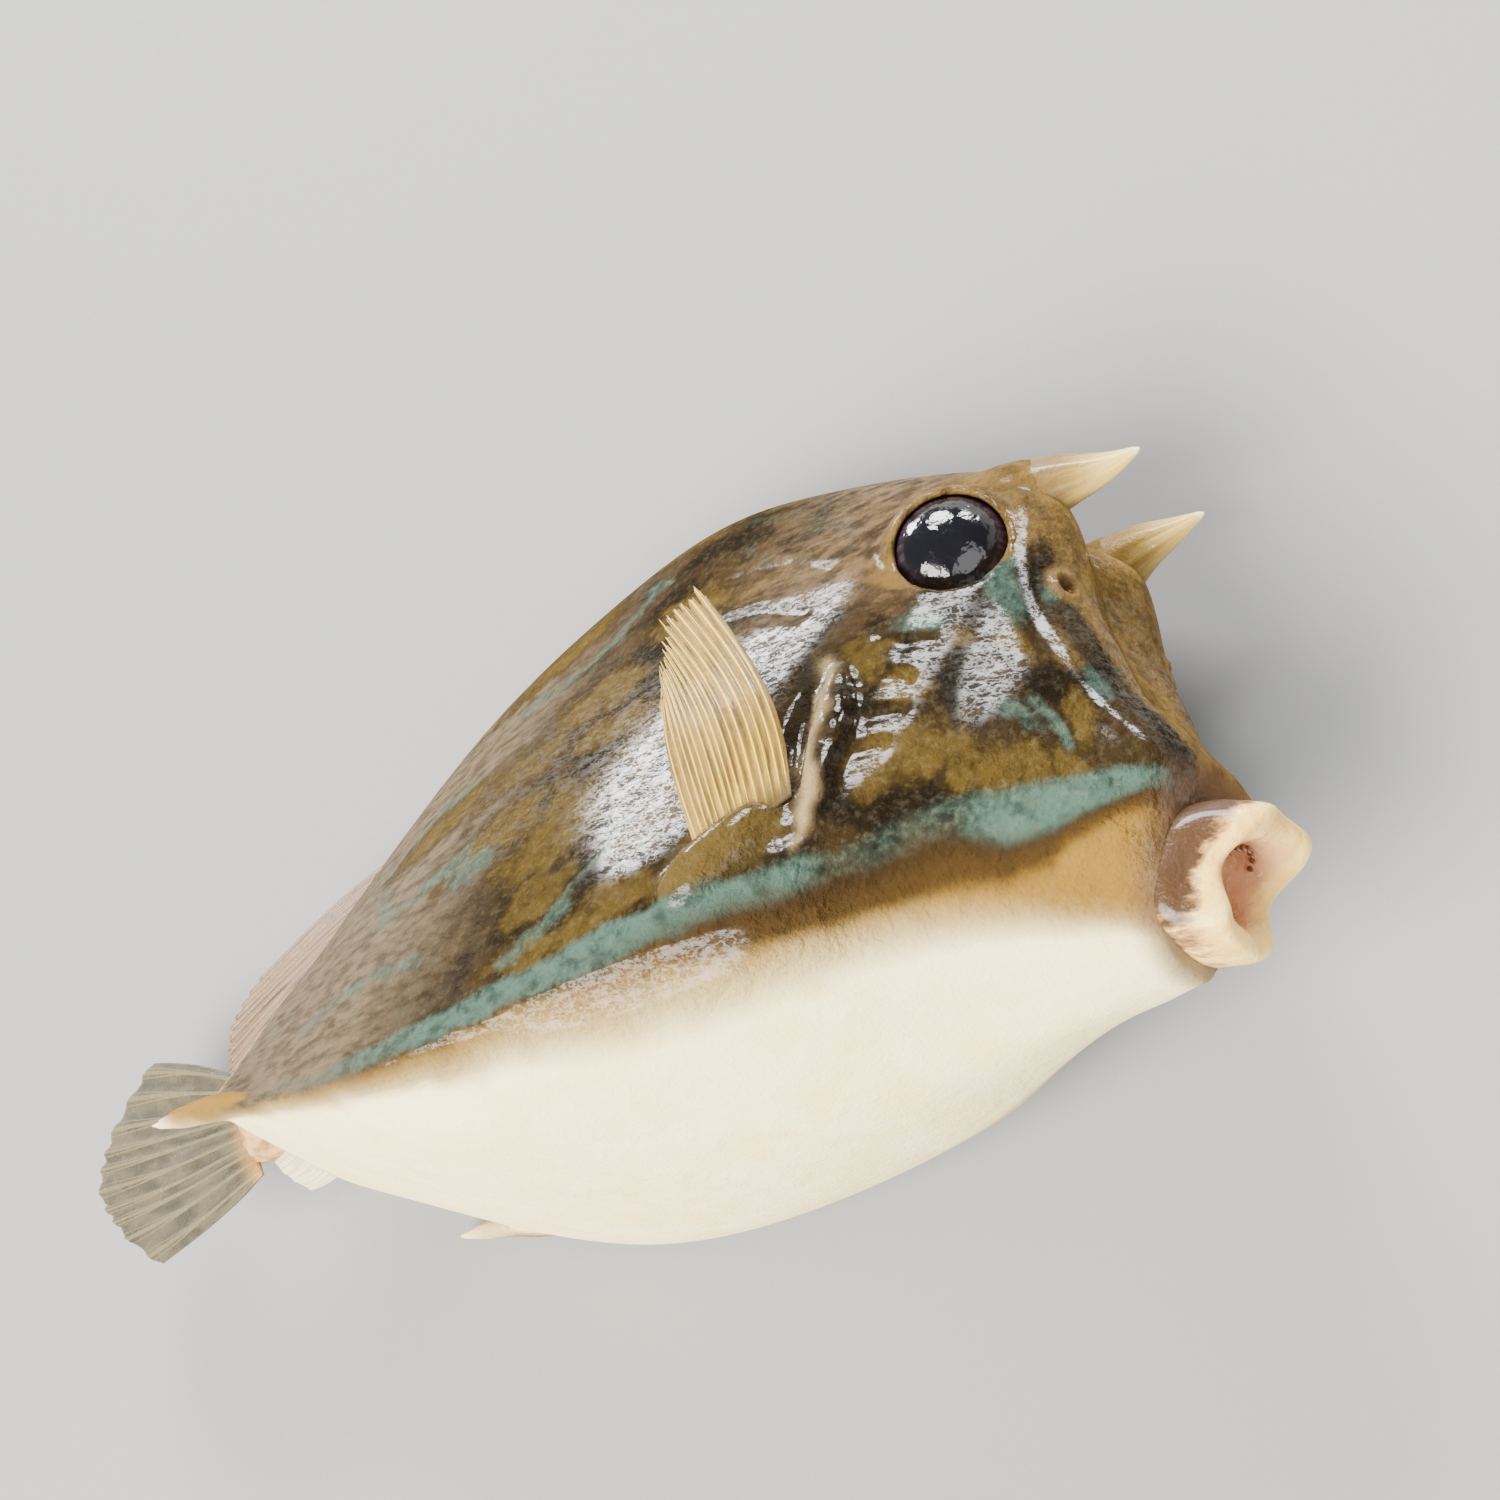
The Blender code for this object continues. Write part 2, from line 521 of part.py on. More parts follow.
def fin_sheet(shape):
    """The middle surface of a fin, a column for each ray and each web, and its normals."""
    across = np.linspace(0, 1, 2 * shape.rays + 1)
    out = np.linspace(0, 1, shape.steps)
    lines = np.stack([along(line, across) for line in (shape.base, shape.middle, shape.tips)])
    columns = [spline((0, 0.5, 1), lines[:, j], out) for j in range(len(across))]
    sheet = np.stack(columns, axis=1)
    normals = np.cross(np.gradient(sheet, axis=0), np.gradient(sheet, axis=1))
    return sheet, normals / np.linalg.norm(normals, axis=2, keepdims=True)


def frayed(sheet, fray, seed):
    """The sheet with its rays' ends drawn out and its webs' ends drawn in, each by its own amount."""
    shares = np.random.default_rng(seed)
    for j in range(1, sheet.shape[1] - 1):
        shift = shares.uniform(*FRAY_OUT) if j % 2 else -shares.uniform(*FRAY_IN)
        sheet[-1, j] += unit(sheet[-1, j] - sheet[-2, j]) * shift * fray
    return sheet


def make_fin(name, shape, roots, look):
    """A membrane from a base line through a middle line to the ray tips, with raised rays."""
    sheet, normals = fin_sheet(shape)
    steps, columns = sheet.shape[:2]
    out = np.linspace(0, 1, steps)[:, None]
    on_ray = (np.arange(columns) % 2)[None]
    half = FIN_SKIN / 2 * (ROOT_THICKER - TIP_THINNER * out) + on_ray * shape.rise * (1 - RAY_TAPER * out)
    sheet = frayed(sheet, shape.fray, len(name))
    upper = sheet + normals * half[:, :, None]
    lower = sheet - normals * half[:, :, None]
    count = steps * columns
    faces = []
    for i in range(steps - 1):
        for j in range(columns - 1):
            a = i * columns + j
            b = a + 1
            c = b + columns
            d = a + columns
            faces += [(a, b, c), (a, c, d)]
            faces += [(a + count, c + count, b + count), (a + count, d + count, c + count)]
    rim = [(0, j) for j in range(columns)]
    rim += [(i, columns - 1) for i in range(1, steps)]
    rim += [(steps - 1, j) for j in range(columns - 2, -1, -1)]
    rim += [(i, 0) for i in range(steps - 2, 0, -1)]
    for (i, j), (next_i, next_j) in zip(rim, rim[1:] + rim[:1]):
        a = i * columns + j
        b = next_i * columns + next_j
        faces += [(b, a, a + count), (b, a + count, b + count)]
    vertices = np.concatenate([upper.reshape(-1, 3), lower.reshape(-1, 3)])
    return seat(mesh_object(name, vertices, faces, look), *roots)


def folded_fin():
    """The left pectoral fin, folded up flat against the flank that lies on the floor."""
    lines = [[on_body(u, v, 1, lift)[0] for u, v, lift in row] for row in FOLDED_FIN_PLACES]
    return FinShape(*lines, FOLDED_RAYS, FOLDED_STEPS, FOLDED_FRAY, FOLDED_RISE)


# Assembly and rest

def lay_down(nodes):
    """Turns the fish onto its left flank, trims the small flats and centres it on the origin."""
    rest = bpy.data.objects.new("rest", None)
    collection.objects.link(rest)
    rest.rotation_euler = Euler((math.radians(REST_ROLL_DEG), math.radians(REST_PITCH_DEG), 0), "XYZ")
    for node in nodes:
        node.parent = rest
    bpy.context.view_layer.update()
    points = np.array([node.matrix_world @ v.co for node in nodes for v in node.data.vertices])
    middle = (points.min(axis=0) + points.max(axis=0)) / 2
    floor = points[:, 2].min() + FLAT_DEPTH * MM
    bpy.ops.mesh.primitive_cube_add(size=1)
    slab = bpy.context.active_object
    slab.name = "floor_cutter"
    for owner in list(slab.users_collection):
        owner.objects.unlink(slab)
    cutters.objects.link(slab)
    slab.hide_render = True
    slab.display_type = "WIRE"
    slab.scale = (0.4, 0.4, 0.02)
    slab.location = (middle[0], middle[1], floor - slab.scale.z / 2)
    bpy.context.view_layer.update()
    for node in nodes:
        lowest = min((node.matrix_world @ v.co).z for v in node.data.vertices)
        if lowest < floor:
            cut = node.modifiers.new("flat", "BOOLEAN")
            cut.operation = "DIFFERENCE"
            cut.object = slab
            applied(node)
    bpy.data.objects.remove(slab, do_unlink=True)
    rest.location = (-middle[0], -middle[1], -floor)


def main():
    clear_scene()
    head = make_head()
    torso = make_torso(head)
    peduncle = make_peduncle(torso)
    nodes = [head, torso, peduncle]
    nodes.append(make_lip("lip_upper", 1, head))
    nodes.append(make_lip("lip_lower", -1, head))
    for side, word in ((-1, "right"), (1, "left")):
        nodes.append(make_horn(f"horn_{word}", side, head))
        nodes.append(make_eye(f"eye_{word}", side))
    nodes.append(make_fin("pectoral_fin_right", RAISED_FIN, (head, torso), TAN_WEB))
    nodes.append(make_fin("pectoral_fin_left", folded_fin(), (head, torso), TAN_WEB))
    nodes.append(make_fin("caudal_fin", TAIL_FIN, (peduncle,), TAN_WEB))
    nodes.append(make_fin("dorsal_fin", DORSAL_FIN, (torso, peduncle), TAN_WEB))
    nodes.append(make_fin("anal_fin", ANAL_FIN, (torso, peduncle), CREAM_WEB))
    lay_down(nodes)
    for node in nodes:
        node.data.shade_smooth()


main()
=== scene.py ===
"""Scrawled cowfish, life size, lying on its left side: its skin, eyes, horns, lips and fins.

Everything is shaped upright in millimetres, +X to the mouth, +Y to the fish's left, +Z up, with
the origin at the front of the mouth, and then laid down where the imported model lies.
"""

import math
from collections import namedtuple

import bmesh
import bpy
import numpy as np
from mathutils import Euler, Matrix, Vector
from mathutils.bvhtree import BVHTree


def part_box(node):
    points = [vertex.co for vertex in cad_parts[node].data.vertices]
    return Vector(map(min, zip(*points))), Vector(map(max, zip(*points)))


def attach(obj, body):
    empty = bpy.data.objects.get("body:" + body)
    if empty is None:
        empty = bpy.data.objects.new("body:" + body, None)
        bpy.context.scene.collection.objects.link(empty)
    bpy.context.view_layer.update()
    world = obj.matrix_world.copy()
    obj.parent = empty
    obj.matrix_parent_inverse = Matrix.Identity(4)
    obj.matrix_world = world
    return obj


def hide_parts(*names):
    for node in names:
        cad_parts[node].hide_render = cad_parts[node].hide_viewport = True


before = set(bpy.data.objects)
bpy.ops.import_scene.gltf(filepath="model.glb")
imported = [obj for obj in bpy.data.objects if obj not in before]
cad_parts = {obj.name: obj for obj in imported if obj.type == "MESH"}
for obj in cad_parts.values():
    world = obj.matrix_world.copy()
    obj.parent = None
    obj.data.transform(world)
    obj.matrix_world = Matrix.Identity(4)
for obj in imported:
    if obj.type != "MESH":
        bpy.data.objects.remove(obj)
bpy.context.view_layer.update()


# How the fish lies
# A limp fish put down on its left flank: it rests on the flat of the flank and the rim of the
# left eye, with its belly towards -Y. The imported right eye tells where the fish's frame has gone.

EYE_CENTRE = np.array([-33.0, 12.2, 39.2])
ROLL, PITCH = math.radians(-107.4), math.radians(-4.4)
MM_PER_M = 1000
TURN = np.array(Euler((ROLL, PITCH, 0), "XYZ").to_matrix())
eye_low, eye_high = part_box("eye_right")
SHIFT = np.array((eye_low + eye_high) / 2) - TURN @ (EYE_CENTRE * (1, -1, 1)) / MM_PER_M


def laid(points):
    """Points of the upright fish, in millimetres, as they lie in the row frame, in metres.

    Soft skin flattens where it touches the floor, so that nothing goes below it.
    """
    placed = np.asarray(points, float) @ TURN.T / MM_PER_M + SHIFT
    placed[..., 2] = np.maximum(placed[..., 2], 0)
    return placed


# View
# The camera is the one that the photograph was taken with: close to the fish, a little in front
# of it, below its belly and to its right, which is above the floor now that the fish lies down.

CAMERA_RIGHT = np.array([0.763377, 0.638813, 0.095776])
CAMERA_DOWN = np.array([-0.241620, 0.419895, -0.874819])
CAMERA_AHEAD = np.array([-0.599061, 0.644676, 0.474888])
CAMERA_PLACE = np.array([78.301, -162.516, -87.412])

LENS, SENSOR = 48, 36
NEAREST, FARTHEST = 0.01, 20


def linked(name, data):
    """A new object in the scene, at the origin."""
    obj = bpy.data.objects.new(name, data)
    bpy.context.scene.collection.objects.link(obj)
    return obj


camera = linked("camera", bpy.data.cameras.new("camera"))
camera.data.lens, camera.data.sensor_width = LENS, SENSOR
camera.data.clip_start, camera.data.clip_end = NEAREST, FARTHEST
axes = np.stack([TURN @ CAMERA_RIGHT, -TURN @ CAMERA_DOWN, -TURN @ CAMERA_AHEAD], axis=1)
camera.matrix_world = Matrix.Translation(laid(CAMERA_PLACE)) @ Matrix(axes).to_4x4()
bpy.context.scene.camera = camera


# Skin
# The bony box of the body, the face and the tail stalk are one skin, thin and wet, stretched over
# fused plates. Its shape runs smoothly through fifteen sections, from the lips to the rear rim.

Section = namedtuple("Section", "top edge ridge keel bulge belly crisp")
SECTIONS = [
    Section((-7.2, 8.2), (-7.4, 3.6, 7.6), (-11.0, 5.4, -7.4), (-11.3, -9.6), 3.6, 1.0, 0),
    Section((-7.4, 12.4), (-7.4, 5.9, 11.6), (-14.0, 7.6, -6.6), (-14.5, -10.2), 4.8, 1.2, 0),
    Section((-12.9, 18.4), (-12.5, 6.0, 18.8), (-17.8, 10.6, -5.4), (-18.2, -11.0), 6.0, 1.6, 0),
    Section((-16.9, 25.6), (-15.9, 6.2, 26.0), (-22.0, 13.2, -4.4), (-22.6, -12.0), 6.6, 1.9, 0),
    Section((-20.0, 32.6), (-18.7, 6.4, 33.0), (-26.8, 16.0, -4.0), (-27.5, -13.2), 6.8, 2.2, 0),
    Section((-22.6, 42.0), (-20.9, 6.9, 43.6), (-31.4, 18.6, -4.2), (-32.2, -14.5), 6.2, 2.5, 0),
    Section((-27.6, 47.6), (-25.0, 9.2, 49.6), (-35.6, 21.0, -4.8), (-37.4, -15.9), 5.5, 2.8, 0),
    Section((-34.6, 52.4), (-32.0, 10.8, 52.4), (-40.4, 23.8, -5.8), (-43.4, -17.7), 4.6, 3.1, 0.1),
    Section((-44.5, 58.4), (-42.5, 9.8, 56.4), (-46.6, 26.8, -7.4), (-51.4, -19.8), 4.2, 3.4, 0.25),
    Section((-57.5, 63.4), (-56.0, 8.2, 60.6), (-60.0, 30.2, -10.4), (-64.0, -22.2), 3.4, 3.6, 0.6),
    Section((-74.0, 66.2), (-74.0, 6.8, 63.4), (-77.5, 32.0, -14.2), (-80.0, -23.8), 2.7, 3.6, 1),
    Section((-93.0, 61.0), (-93.0, 6.2, 58.2), (-96.5, 32.8, -17.6), (-98.0, -23.3), 2.2, 2.6, 1),
    Section((-114.0, 50.0), (-114.0, 5.6, 47.4), (-112.0, 31.2, -18.0), (-115.0, -21.2), 1.4, 1.4, 1),
    Section((-131.0, 36.2), (-131.0, 4.9, 33.6), (-123.6, 29.0, -16.6), (-128.0, -18.2), 0.8, 0.8, 1),
    Section((-143.0, 25.0), (-143.0, 4.0, 22.8), (-131.5, 27.9, -15.2), (-138.0, -15.7), 0.3, 0.3, 1),
]
RIDGE_V = 0.62                                  # share of the way from back to keel at the ridge
FLANK_BULGE = ((0.14, 0.85), (0.43, 1.0), (0.74, 0.72))
BELLY_SAG = ((0.28, 1.0), (0.64, 0.8))


def unit(vectors):
    vectors = np.asarray(vectors, float)
    return vectors / np.linalg.norm(vectors, axis=-1, keepdims=True)


def spline(knots, values, where, start=None, end=None):
    """A smooth curve through the values at the knots; start and end are slopes, or free."""
    knots, values, where = (np.asarray(a, float) for a in (knots, values, where))
    width = np.diff(knots)
    column = (-1,) + (1,) * (values.ndim - 1)
    rise = np.diff(values, axis=0) / width.reshape(column)
    system, right = np.zeros((len(knots), len(knots))), np.zeros_like(values)
    for i in range(1, len(knots) - 1):
        system[i, i - 1 : i + 2] = width[i], 2 * (width[i - 1] + width[i]), width[i - 1]
        right[i] = 3 * (width[i] * rise[i - 1] + width[i - 1] * rise[i])
    system[0, :2] = (2, 1) if start is None else (1, 0)
    right[0] = 3 * rise[0] if start is None else start
    system[-1, -2:] = (1, 2) if end is None else (0, 1)
    right[-1] = 3 * rise[-1] if end is None else end
    slope = np.linalg.solve(system, right.reshape(len(knots), -1)).reshape(right.shape)
    i = np.clip(np.searchsorted(knots, where, side="right") - 1, 0, len(knots) - 2)
    t, step = ((where - knots[i]) / width[i]).reshape(column), width[i].reshape(column)
    return (
        (2 * t**3 - 3 * t**2 + 1) * values[i] + (t**3 - 2 * t**2 + t) * step * slope[i]
        + (3 * t**2 - 2 * t**3) * values[i + 1] + (t**3 - t**2) * step * slope[i + 1]
    )


def along(points, share):
    """Points at these shares of the way along a smooth curve through a few points."""
    points = np.asarray(points, float)
    reach = np.concatenate([[0], np.cumsum(np.linalg.norm(np.diff(points, axis=0), axis=1))])
    return spline(reach / reach[-1], points, np.atleast_1d(share))


def section_points(row):
    """The nine points that half a section runs through, from the back to the keel."""
    edge, ridge = np.array(row.edge, float), np.array(row.ridge, float)
    keel = np.array([row.keel[0], 0, row.keel[1]])
    outward = unit([0, edge[2] - ridge[2], ridge[1] - edge[1]])
    flank = [edge + at * (ridge - edge) + outward * row.bulge * out for at, out in FLANK_BULGE]
    belly = [ridge + at * (keel - ridge) - (0, 0, row.belly * out) for at, out in BELLY_SAG]
    return np.array([(row.top[0], 0, row.top[1]), edge, *flank, ridge, *belly, keel])


SECTION_POINTS = np.array([section_points(row) for row in SECTIONS])
CRISP = np.array([row.crisp for row in SECTIONS], float)
spread = np.sqrt(np.linalg.norm(np.diff(SECTION_POINTS, axis=0), axis=2).mean(axis=1))
SECTION_U = np.concatenate([[0], np.cumsum(spread)]) / spread.sum()


def half_section(points, crisp, v):
    reach = np.concatenate([[0], np.cumsum(np.linalg.norm(np.diff(points, axis=0), axis=1))])
    ridge = reach[5]
    below = (v - RIDGE_V) / (1 - RIDGE_V) * (reach[-1] - ridge)
    where = np.where(v < RIDGE_V, v / RIDGE_V * ridge, ridge + below)
    level_out, level_in = np.array([0, 1.0, 0]), np.array([0, -1.0, 0])
    smooth = spline(reach, points, where, level_out, level_in)
    flank = spline(reach[:6], points[:6], np.minimum(where, ridge), level_out, None)
    belly = spline(reach[5:], points[5:], np.maximum(where, ridge), None, level_in)
    return (1 - crisp) * smooth + crisp * np.where((v < RIDGE_V)[:, None], flank, belly)


def body_side(us, vs):
    """Points of the body's left side at each u (lips 0, rear rim 1) and v (back 0, keel 1)."""
    points, crisp = spline(SECTION_U, SECTION_POINTS, us), np.interp(us, SECTION_U, CRISP)
    return np.stack([half_section(p, c, np.asarray(vs, float)) for p, c in zip(points, crisp)])


def on_body(u, v, side=1, lift=0.0):
    """A point on the body and the outward normal there; side is 1 for left and -1 for right."""
    patch = body_side([u - 0.004, u, u + 0.004], [v - 0.004, v, v + 0.004])
    normal = unit(np.cross(patch[1, 2] - patch[1, 0], patch[2, 1] - patch[0, 1]))
    normal = normal if normal[1] > 0 else -normal
    return (patch[1, 1] + lift * normal) * (1, side, 1), normal * (1, side, 1)


def face_outwards(mesh):
    shape = bmesh.new()
    shape.from_mesh(mesh)
    bmesh.ops.recalc_face_normals(shape, faces=shape.faces)
    shape.to_mesh(mesh)
    shape.free()


def solid_of(name, rings):
    """A closed mesh object, still in millimetres, over rings of equal count."""
    count, points, faces = len(rings[0]), np.concatenate(rings), []
    for i in range(len(rings) - 1):
        for j in range(count):
            a, b = i * count + j, i * count + (j + 1) % count
            faces.append((a, b, b + count, a + count))
    points = np.concatenate([points, [np.mean(rings[0], axis=0), np.mean(rings[-1], axis=0)]])
    last = (len(rings) - 1) * count
    faces += [(j, (j + 1) % count, len(points) - 2) for j in range(count)]
    faces += [(last + j, last + (j + 1) % count, len(points) - 1) for j in range(count)]
    mesh = bpy.data.meshes.new(name)
    mesh.from_pydata(points.tolist(), [], faces)
    face_outwards(mesh)
    return linked(name, mesh)


def rod(name, path, radii, sides=20, flatten=1.0, across=(0, 1, 0)):
    """A tapering rod along a path; across is the direction in which it isn't flattened."""
    path, rings = np.asarray(path, float), []
    for i, centre in enumerate(path):
        ahead = unit(path[min(i + 1, len(path) - 1)] - path[max(i - 1, 0)])
        wide = unit(np.array(across, float) - np.dot(across, ahead) * ahead)
        turn = (np.arange(sides) * 2 * math.pi / sides)[:, None]
        other = flatten * np.sin(turn) * np.cross(ahead, wide)
        rings.append(centre + radii[i] * (np.cos(turn) * wide + other))
    return solid_of(name, rings)


def ball(name, centre, radius, steps=48):
    """A round ball, made of rings about its X axis."""
    rings = []
    for lift in np.linspace(0.03, math.pi - 0.03, steps // 2):
        turn = (np.arange(steps) * 2 * math.pi / steps)[:, None]
        ring = np.cos(turn) * (0, 1, 0) + np.sin(turn) * (0, 0, 1)
        direction = math.cos(lift) * np.array([1, 0, 0]) + math.sin(lift) * ring
        rings.append(np.array(centre) + radius * direction)
    return solid_of(name, rings)


def bake_modifiers(obj):
    """Makes what the object's modifiers give its plain mesh."""
    mesh = bpy.data.meshes.new_from_object(obj.evaluated_get(bpy.context.evaluated_depsgraph_get()))
    obj.modifiers.clear()
    obj.data = mesh


def combine(obj, others, operation):
    """Joins closed pieces to an object, or cuts them from it."""
    group = bpy.data.collections.new("joining")
    for other in others:
        group.objects.link(other)
    change = obj.modifiers.new("join", "BOOLEAN")
    change.operation, change.solver = operation, "MANIFOLD"
    change.operand_type, change.collection = "COLLECTION", group
    bake_modifiers(obj)
    for other in others:
        bpy.data.objects.remove(other, do_unlink=True)
    bpy.data.collections.remove(group)


LENGTHWISE, ROUND = 360, 240
body_u, body_v = np.linspace(0, 1, LENGTHWISE + 1), np.linspace(0, 1, ROUND + 1)
left_side = body_side(body_u, body_v)
body_rings = np.concatenate([left_side, left_side[:, -2:0:-1] * (1, -1, 1)], axis=1)
skin = solid_of("skin", list(body_rings[::2, ::2]))

EYE_AXIS = unit([0.45, 0.86, -0.20])
EYE_RADIUS, LID_RADIUS, LID_OPENING = 7.7, 8.9, 6.4
NOSTRIL_AT, NOSTRIL_RADIUS = (0.220, 0.140), 1.4
GILL_LINE = ((0.430, 0.375), (0.419, 0.43), (0.413, 0.49), (0.404, 0.545))
GILL_HOLLOW = ((0.449, 0.385), (0.446, 0.425), (0.438, 0.470), (0.424, 0.515))
HORN_PATH = np.array([(-28.5, 9.4, 46.5), (-24.5, 8.6, 48.2), (-21.0, 7.9, 48.9), (-17.2, 7.4, 49.3),
                      (-12.8, 7.2, 50.3)])
SPINE_PATH = np.array([(-118, 28.8, -16.8), (-126, 27.6, -15.6), (-133, 26.8, -15.2),
                       (-140, 26.6, -15.6), (-145.8, 26.7, -16.2)])
FIN_PAD = ((0.438, 0.512, -0.6), (0.458, 0.535, 0.4), (0.482, 0.553, 0.5), (0.505, 0.570, 0.1),
           (0.522, 0.580, -1.2))
FIN_PAD_RADII = (1.2, 2.2, 2.7, 2.8, 2.7, 2.2, 1.1)
LID_CONE = (2.0, 7.0, 12.5)                     # how far along the eye's axis the lids' cut is sized
HORN_ROOT_AT, HORN_ROOT_RADII = (0, 0.15, 0.28, 0.36), (5.0, 4.4, 3.6, 2.4)
SPINE_AT, SPINE_RADII = (0, 0.4, 0.7, 1), (1.6, 2.6, 2.0, 0.3)
GILL_STEPS, PAD_STEPS, ROOT_STEPS, SPINE_STEPS = 17, 19, 12, 24
THROAT_AT, THROAT_RADII = (3.0, -2.0, -6.5, -9.0), (4.2, 3.9, 3.4, 1.8)
MOUTH_CENTRE, MOUTH_TILT = np.array([-5.2, 0.0, -1.4]), math.radians(17.0)
mouth_ahead = np.array([math.cos(MOUTH_TILT), 0, -math.sin(MOUTH_TILT)])
mouth_up = np.array([math.sin(MOUTH_TILT), 0, math.cos(MOUTH_TILT)])

raised, cut = [], []
for side in (-1, 1):
    mirror = np.array([1, side, 1])
    eye, axis = EYE_CENTRE * mirror, EYE_AXIS * mirror
    raised.append(ball("lids", eye, LID_RADIUS))
    cut.append(ball("socket", eye, EYE_RADIUS + 0.25))
    lid_radii = (LID_OPENING - 0.3, LID_OPENING, LID_OPENING + 0.6)
    cut.append(rod("lid_opening", eye + np.outer(LID_CONE, axis), lid_radii, 64, across=(0, 0, 1)))
    point, normal = on_body(*NOSTRIL_AT, side)
    raised.append(ball("nostril_rim", point - 1.1 * normal, NOSTRIL_RADIUS + 0.85, 32))
    cut.append(ball("nostril_pit", point + 0.55 * normal, NOSTRIL_RADIUS, 32))
    share = np.linspace(0, 1, GILL_STEPS)
    line = along([on_body(u, v, side)[0] for u, v in GILL_LINE], share)
    swell = np.sin(np.linspace(0.12, math.pi - 0.12, GILL_STEPS)) ** 0.6
    wavy = 1 + 0.08 * np.sin(np.linspace(0, 5, GILL_STEPS))
    raised.append(rod("gill_flap", line + (1.0, side * 0.1, 0), 2.3 * swell * wavy, 24, 0.52,
                      across=(1, 0, 0)))
    hollow = along([on_body(u, v, side, 0.5)[0] for u, v in GILL_HOLLOW], share)
    cut.append(rod("gill_hollow", hollow, 1.95 * swell, 24, 0.9))
    share = np.linspace(0, 1, PAD_STEPS)
    pad = along([on_body(u, v, side, lift)[0] for u, v, lift in FIN_PAD], share)
    radii = np.interp(share, np.linspace(0, 1, len(FIN_PAD_RADII)), FIN_PAD_RADII)
    raised.append(rod("fin_pad", pad, radii, 32, 0.6, across=(0, 0, 1)))
    share = np.linspace(0, HORN_ROOT_AT[-1], ROOT_STEPS)
    radii = np.interp(share, HORN_ROOT_AT, HORN_ROOT_RADII)
    raised.append(rod("horn_root", along(HORN_PATH * mirror, share), radii, 40, 1.15))
    share = np.linspace(0, 1, SPINE_STEPS)
    radii = np.interp(share, SPINE_AT, SPINE_RADII)
    raised.append(rod("rear_spine", along(SPINE_PATH * mirror, share), radii, 20, 0.6))

STALK = [  # centre, half width, half height and lean of the tail stalk's sections
    (-133.0, 0, 2.5, 10.5, 15.0, 14), (-140.0, 0, 2.2, 9.0, 15.5, 18), (-146.0, 0, 1.8, 7.6, 13.8, 22),
    (-151.5, 0, 0.2, 6.2, 11.4, 26), (-156.0, 0.1, -1.8, 5.0, 9.2, 28), (-159.5, 0.2, -3.6, 4.0, 7.8, 30),
    (-162.5, 0.3, -4.9, 2.9, 7.0, 30),
]
STALK_STEPS, STALK_ROUND = 25, 48
stalk_rings = []
stalk = spline(range(len(STALK)), STALK, np.linspace(0, len(STALK) - 1, STALK_STEPS))
for x, y, z, wide, tall, lean in stalk:
    turn = (np.arange(STALK_ROUND) * 2 * math.pi / STALK_ROUND)[:, None]
    high = np.array([-math.sin(math.radians(lean)), 0, math.cos(math.radians(lean))])
    stalk_rings.append(np.array([x, y, z]) + np.cos(turn) * high * tall + np.sin(turn) * (0, wide, 0))
raised.append(solid_of("stalk", stalk_rings))
throat = MOUTH_CENTRE + np.outer(THROAT_AT, mouth_ahead)
cut.append(rod("throat", throat, THROAT_RADII, 40, 0.66, across=mouth_up))
combine(skin, raised, "UNION")
combine(skin, cut, "DIFFERENCE")

# The joined shape is meshed anew in even quads, finer on the head, where it is first stretched.
HEAD_STRETCH, HEAD_START, HEAD_EASE, SKIN_CELL = 1.6, -56, 5, 0.87
ruler = np.linspace(-175, 20, 1951)
stretch = 1 + (HEAD_STRETCH - 1) / (1 + np.exp(-(ruler - HEAD_START) / HEAD_EASE))
stretched = np.concatenate([[0], np.cumsum((stretch[1:] + stretch[:-1]) / 2 * np.diff(ruler))])


def coordinates(mesh):
    values = np.empty(len(mesh.vertices) * 3)
    mesh.vertices.foreach_get("co", values)
    return values.reshape(-1, 3)


def set_coordinates(mesh, points):
    mesh.vertices.foreach_set("co", np.asarray(points, float).ravel())
    mesh.update()


points = coordinates(skin.data)
size = np.interp(points[:, 0], ruler, stretch)[:, None]
far_x = np.interp(points[:, :1], ruler, stretched)
set_coordinates(skin.data, np.concatenate([far_x, points[:, 1:] * size], axis=1))
remesh = skin.modifiers.new("remesh", "REMESH")
remesh.mode, remesh.voxel_size, remesh.adaptivity = "VOXEL", SKIN_CELL, 0.0
bake_modifiers(skin)
points = coordinates(skin.data)
true_x = np.interp(points[:, 0], stretched, ruler)
size = np.interp(true_x, ruler, stretch)[:, None]
points = np.concatenate([true_x[:, None], points[:, 1:] / size], axis=1)

edges = np.empty(len(skin.data.edges) * 2, int)
skin.data.edges.foreach_get("vertices", edges)
edges = edges.reshape(-1, 2)
degree = np.bincount(edges.ravel(), minlength=len(points))


def neighbours_mean(values):
    """Each vertex's mean over its neighbours, for one value or a few."""
    values = np.asarray(values, float).reshape(len(points), -1)
    total = np.zeros_like(values)
    for k in range(values.shape[1]):
        total[:, k] = np.bincount(edges[:, 0], values[edges[:, 1], k], len(points))
        total[:, k] += np.bincount(edges[:, 1], values[edges[:, 0], k], len(points))
    return total / degree[:, None]


SMOOTHINGS, SHRINK, SWELL = 6, 0.5, 0.52
for _ in range(SMOOTHINGS):
    points += SHRINK * (neighbours_mean(points) - points)
    points -= SWELL * (neighbours_mean(points) - points)

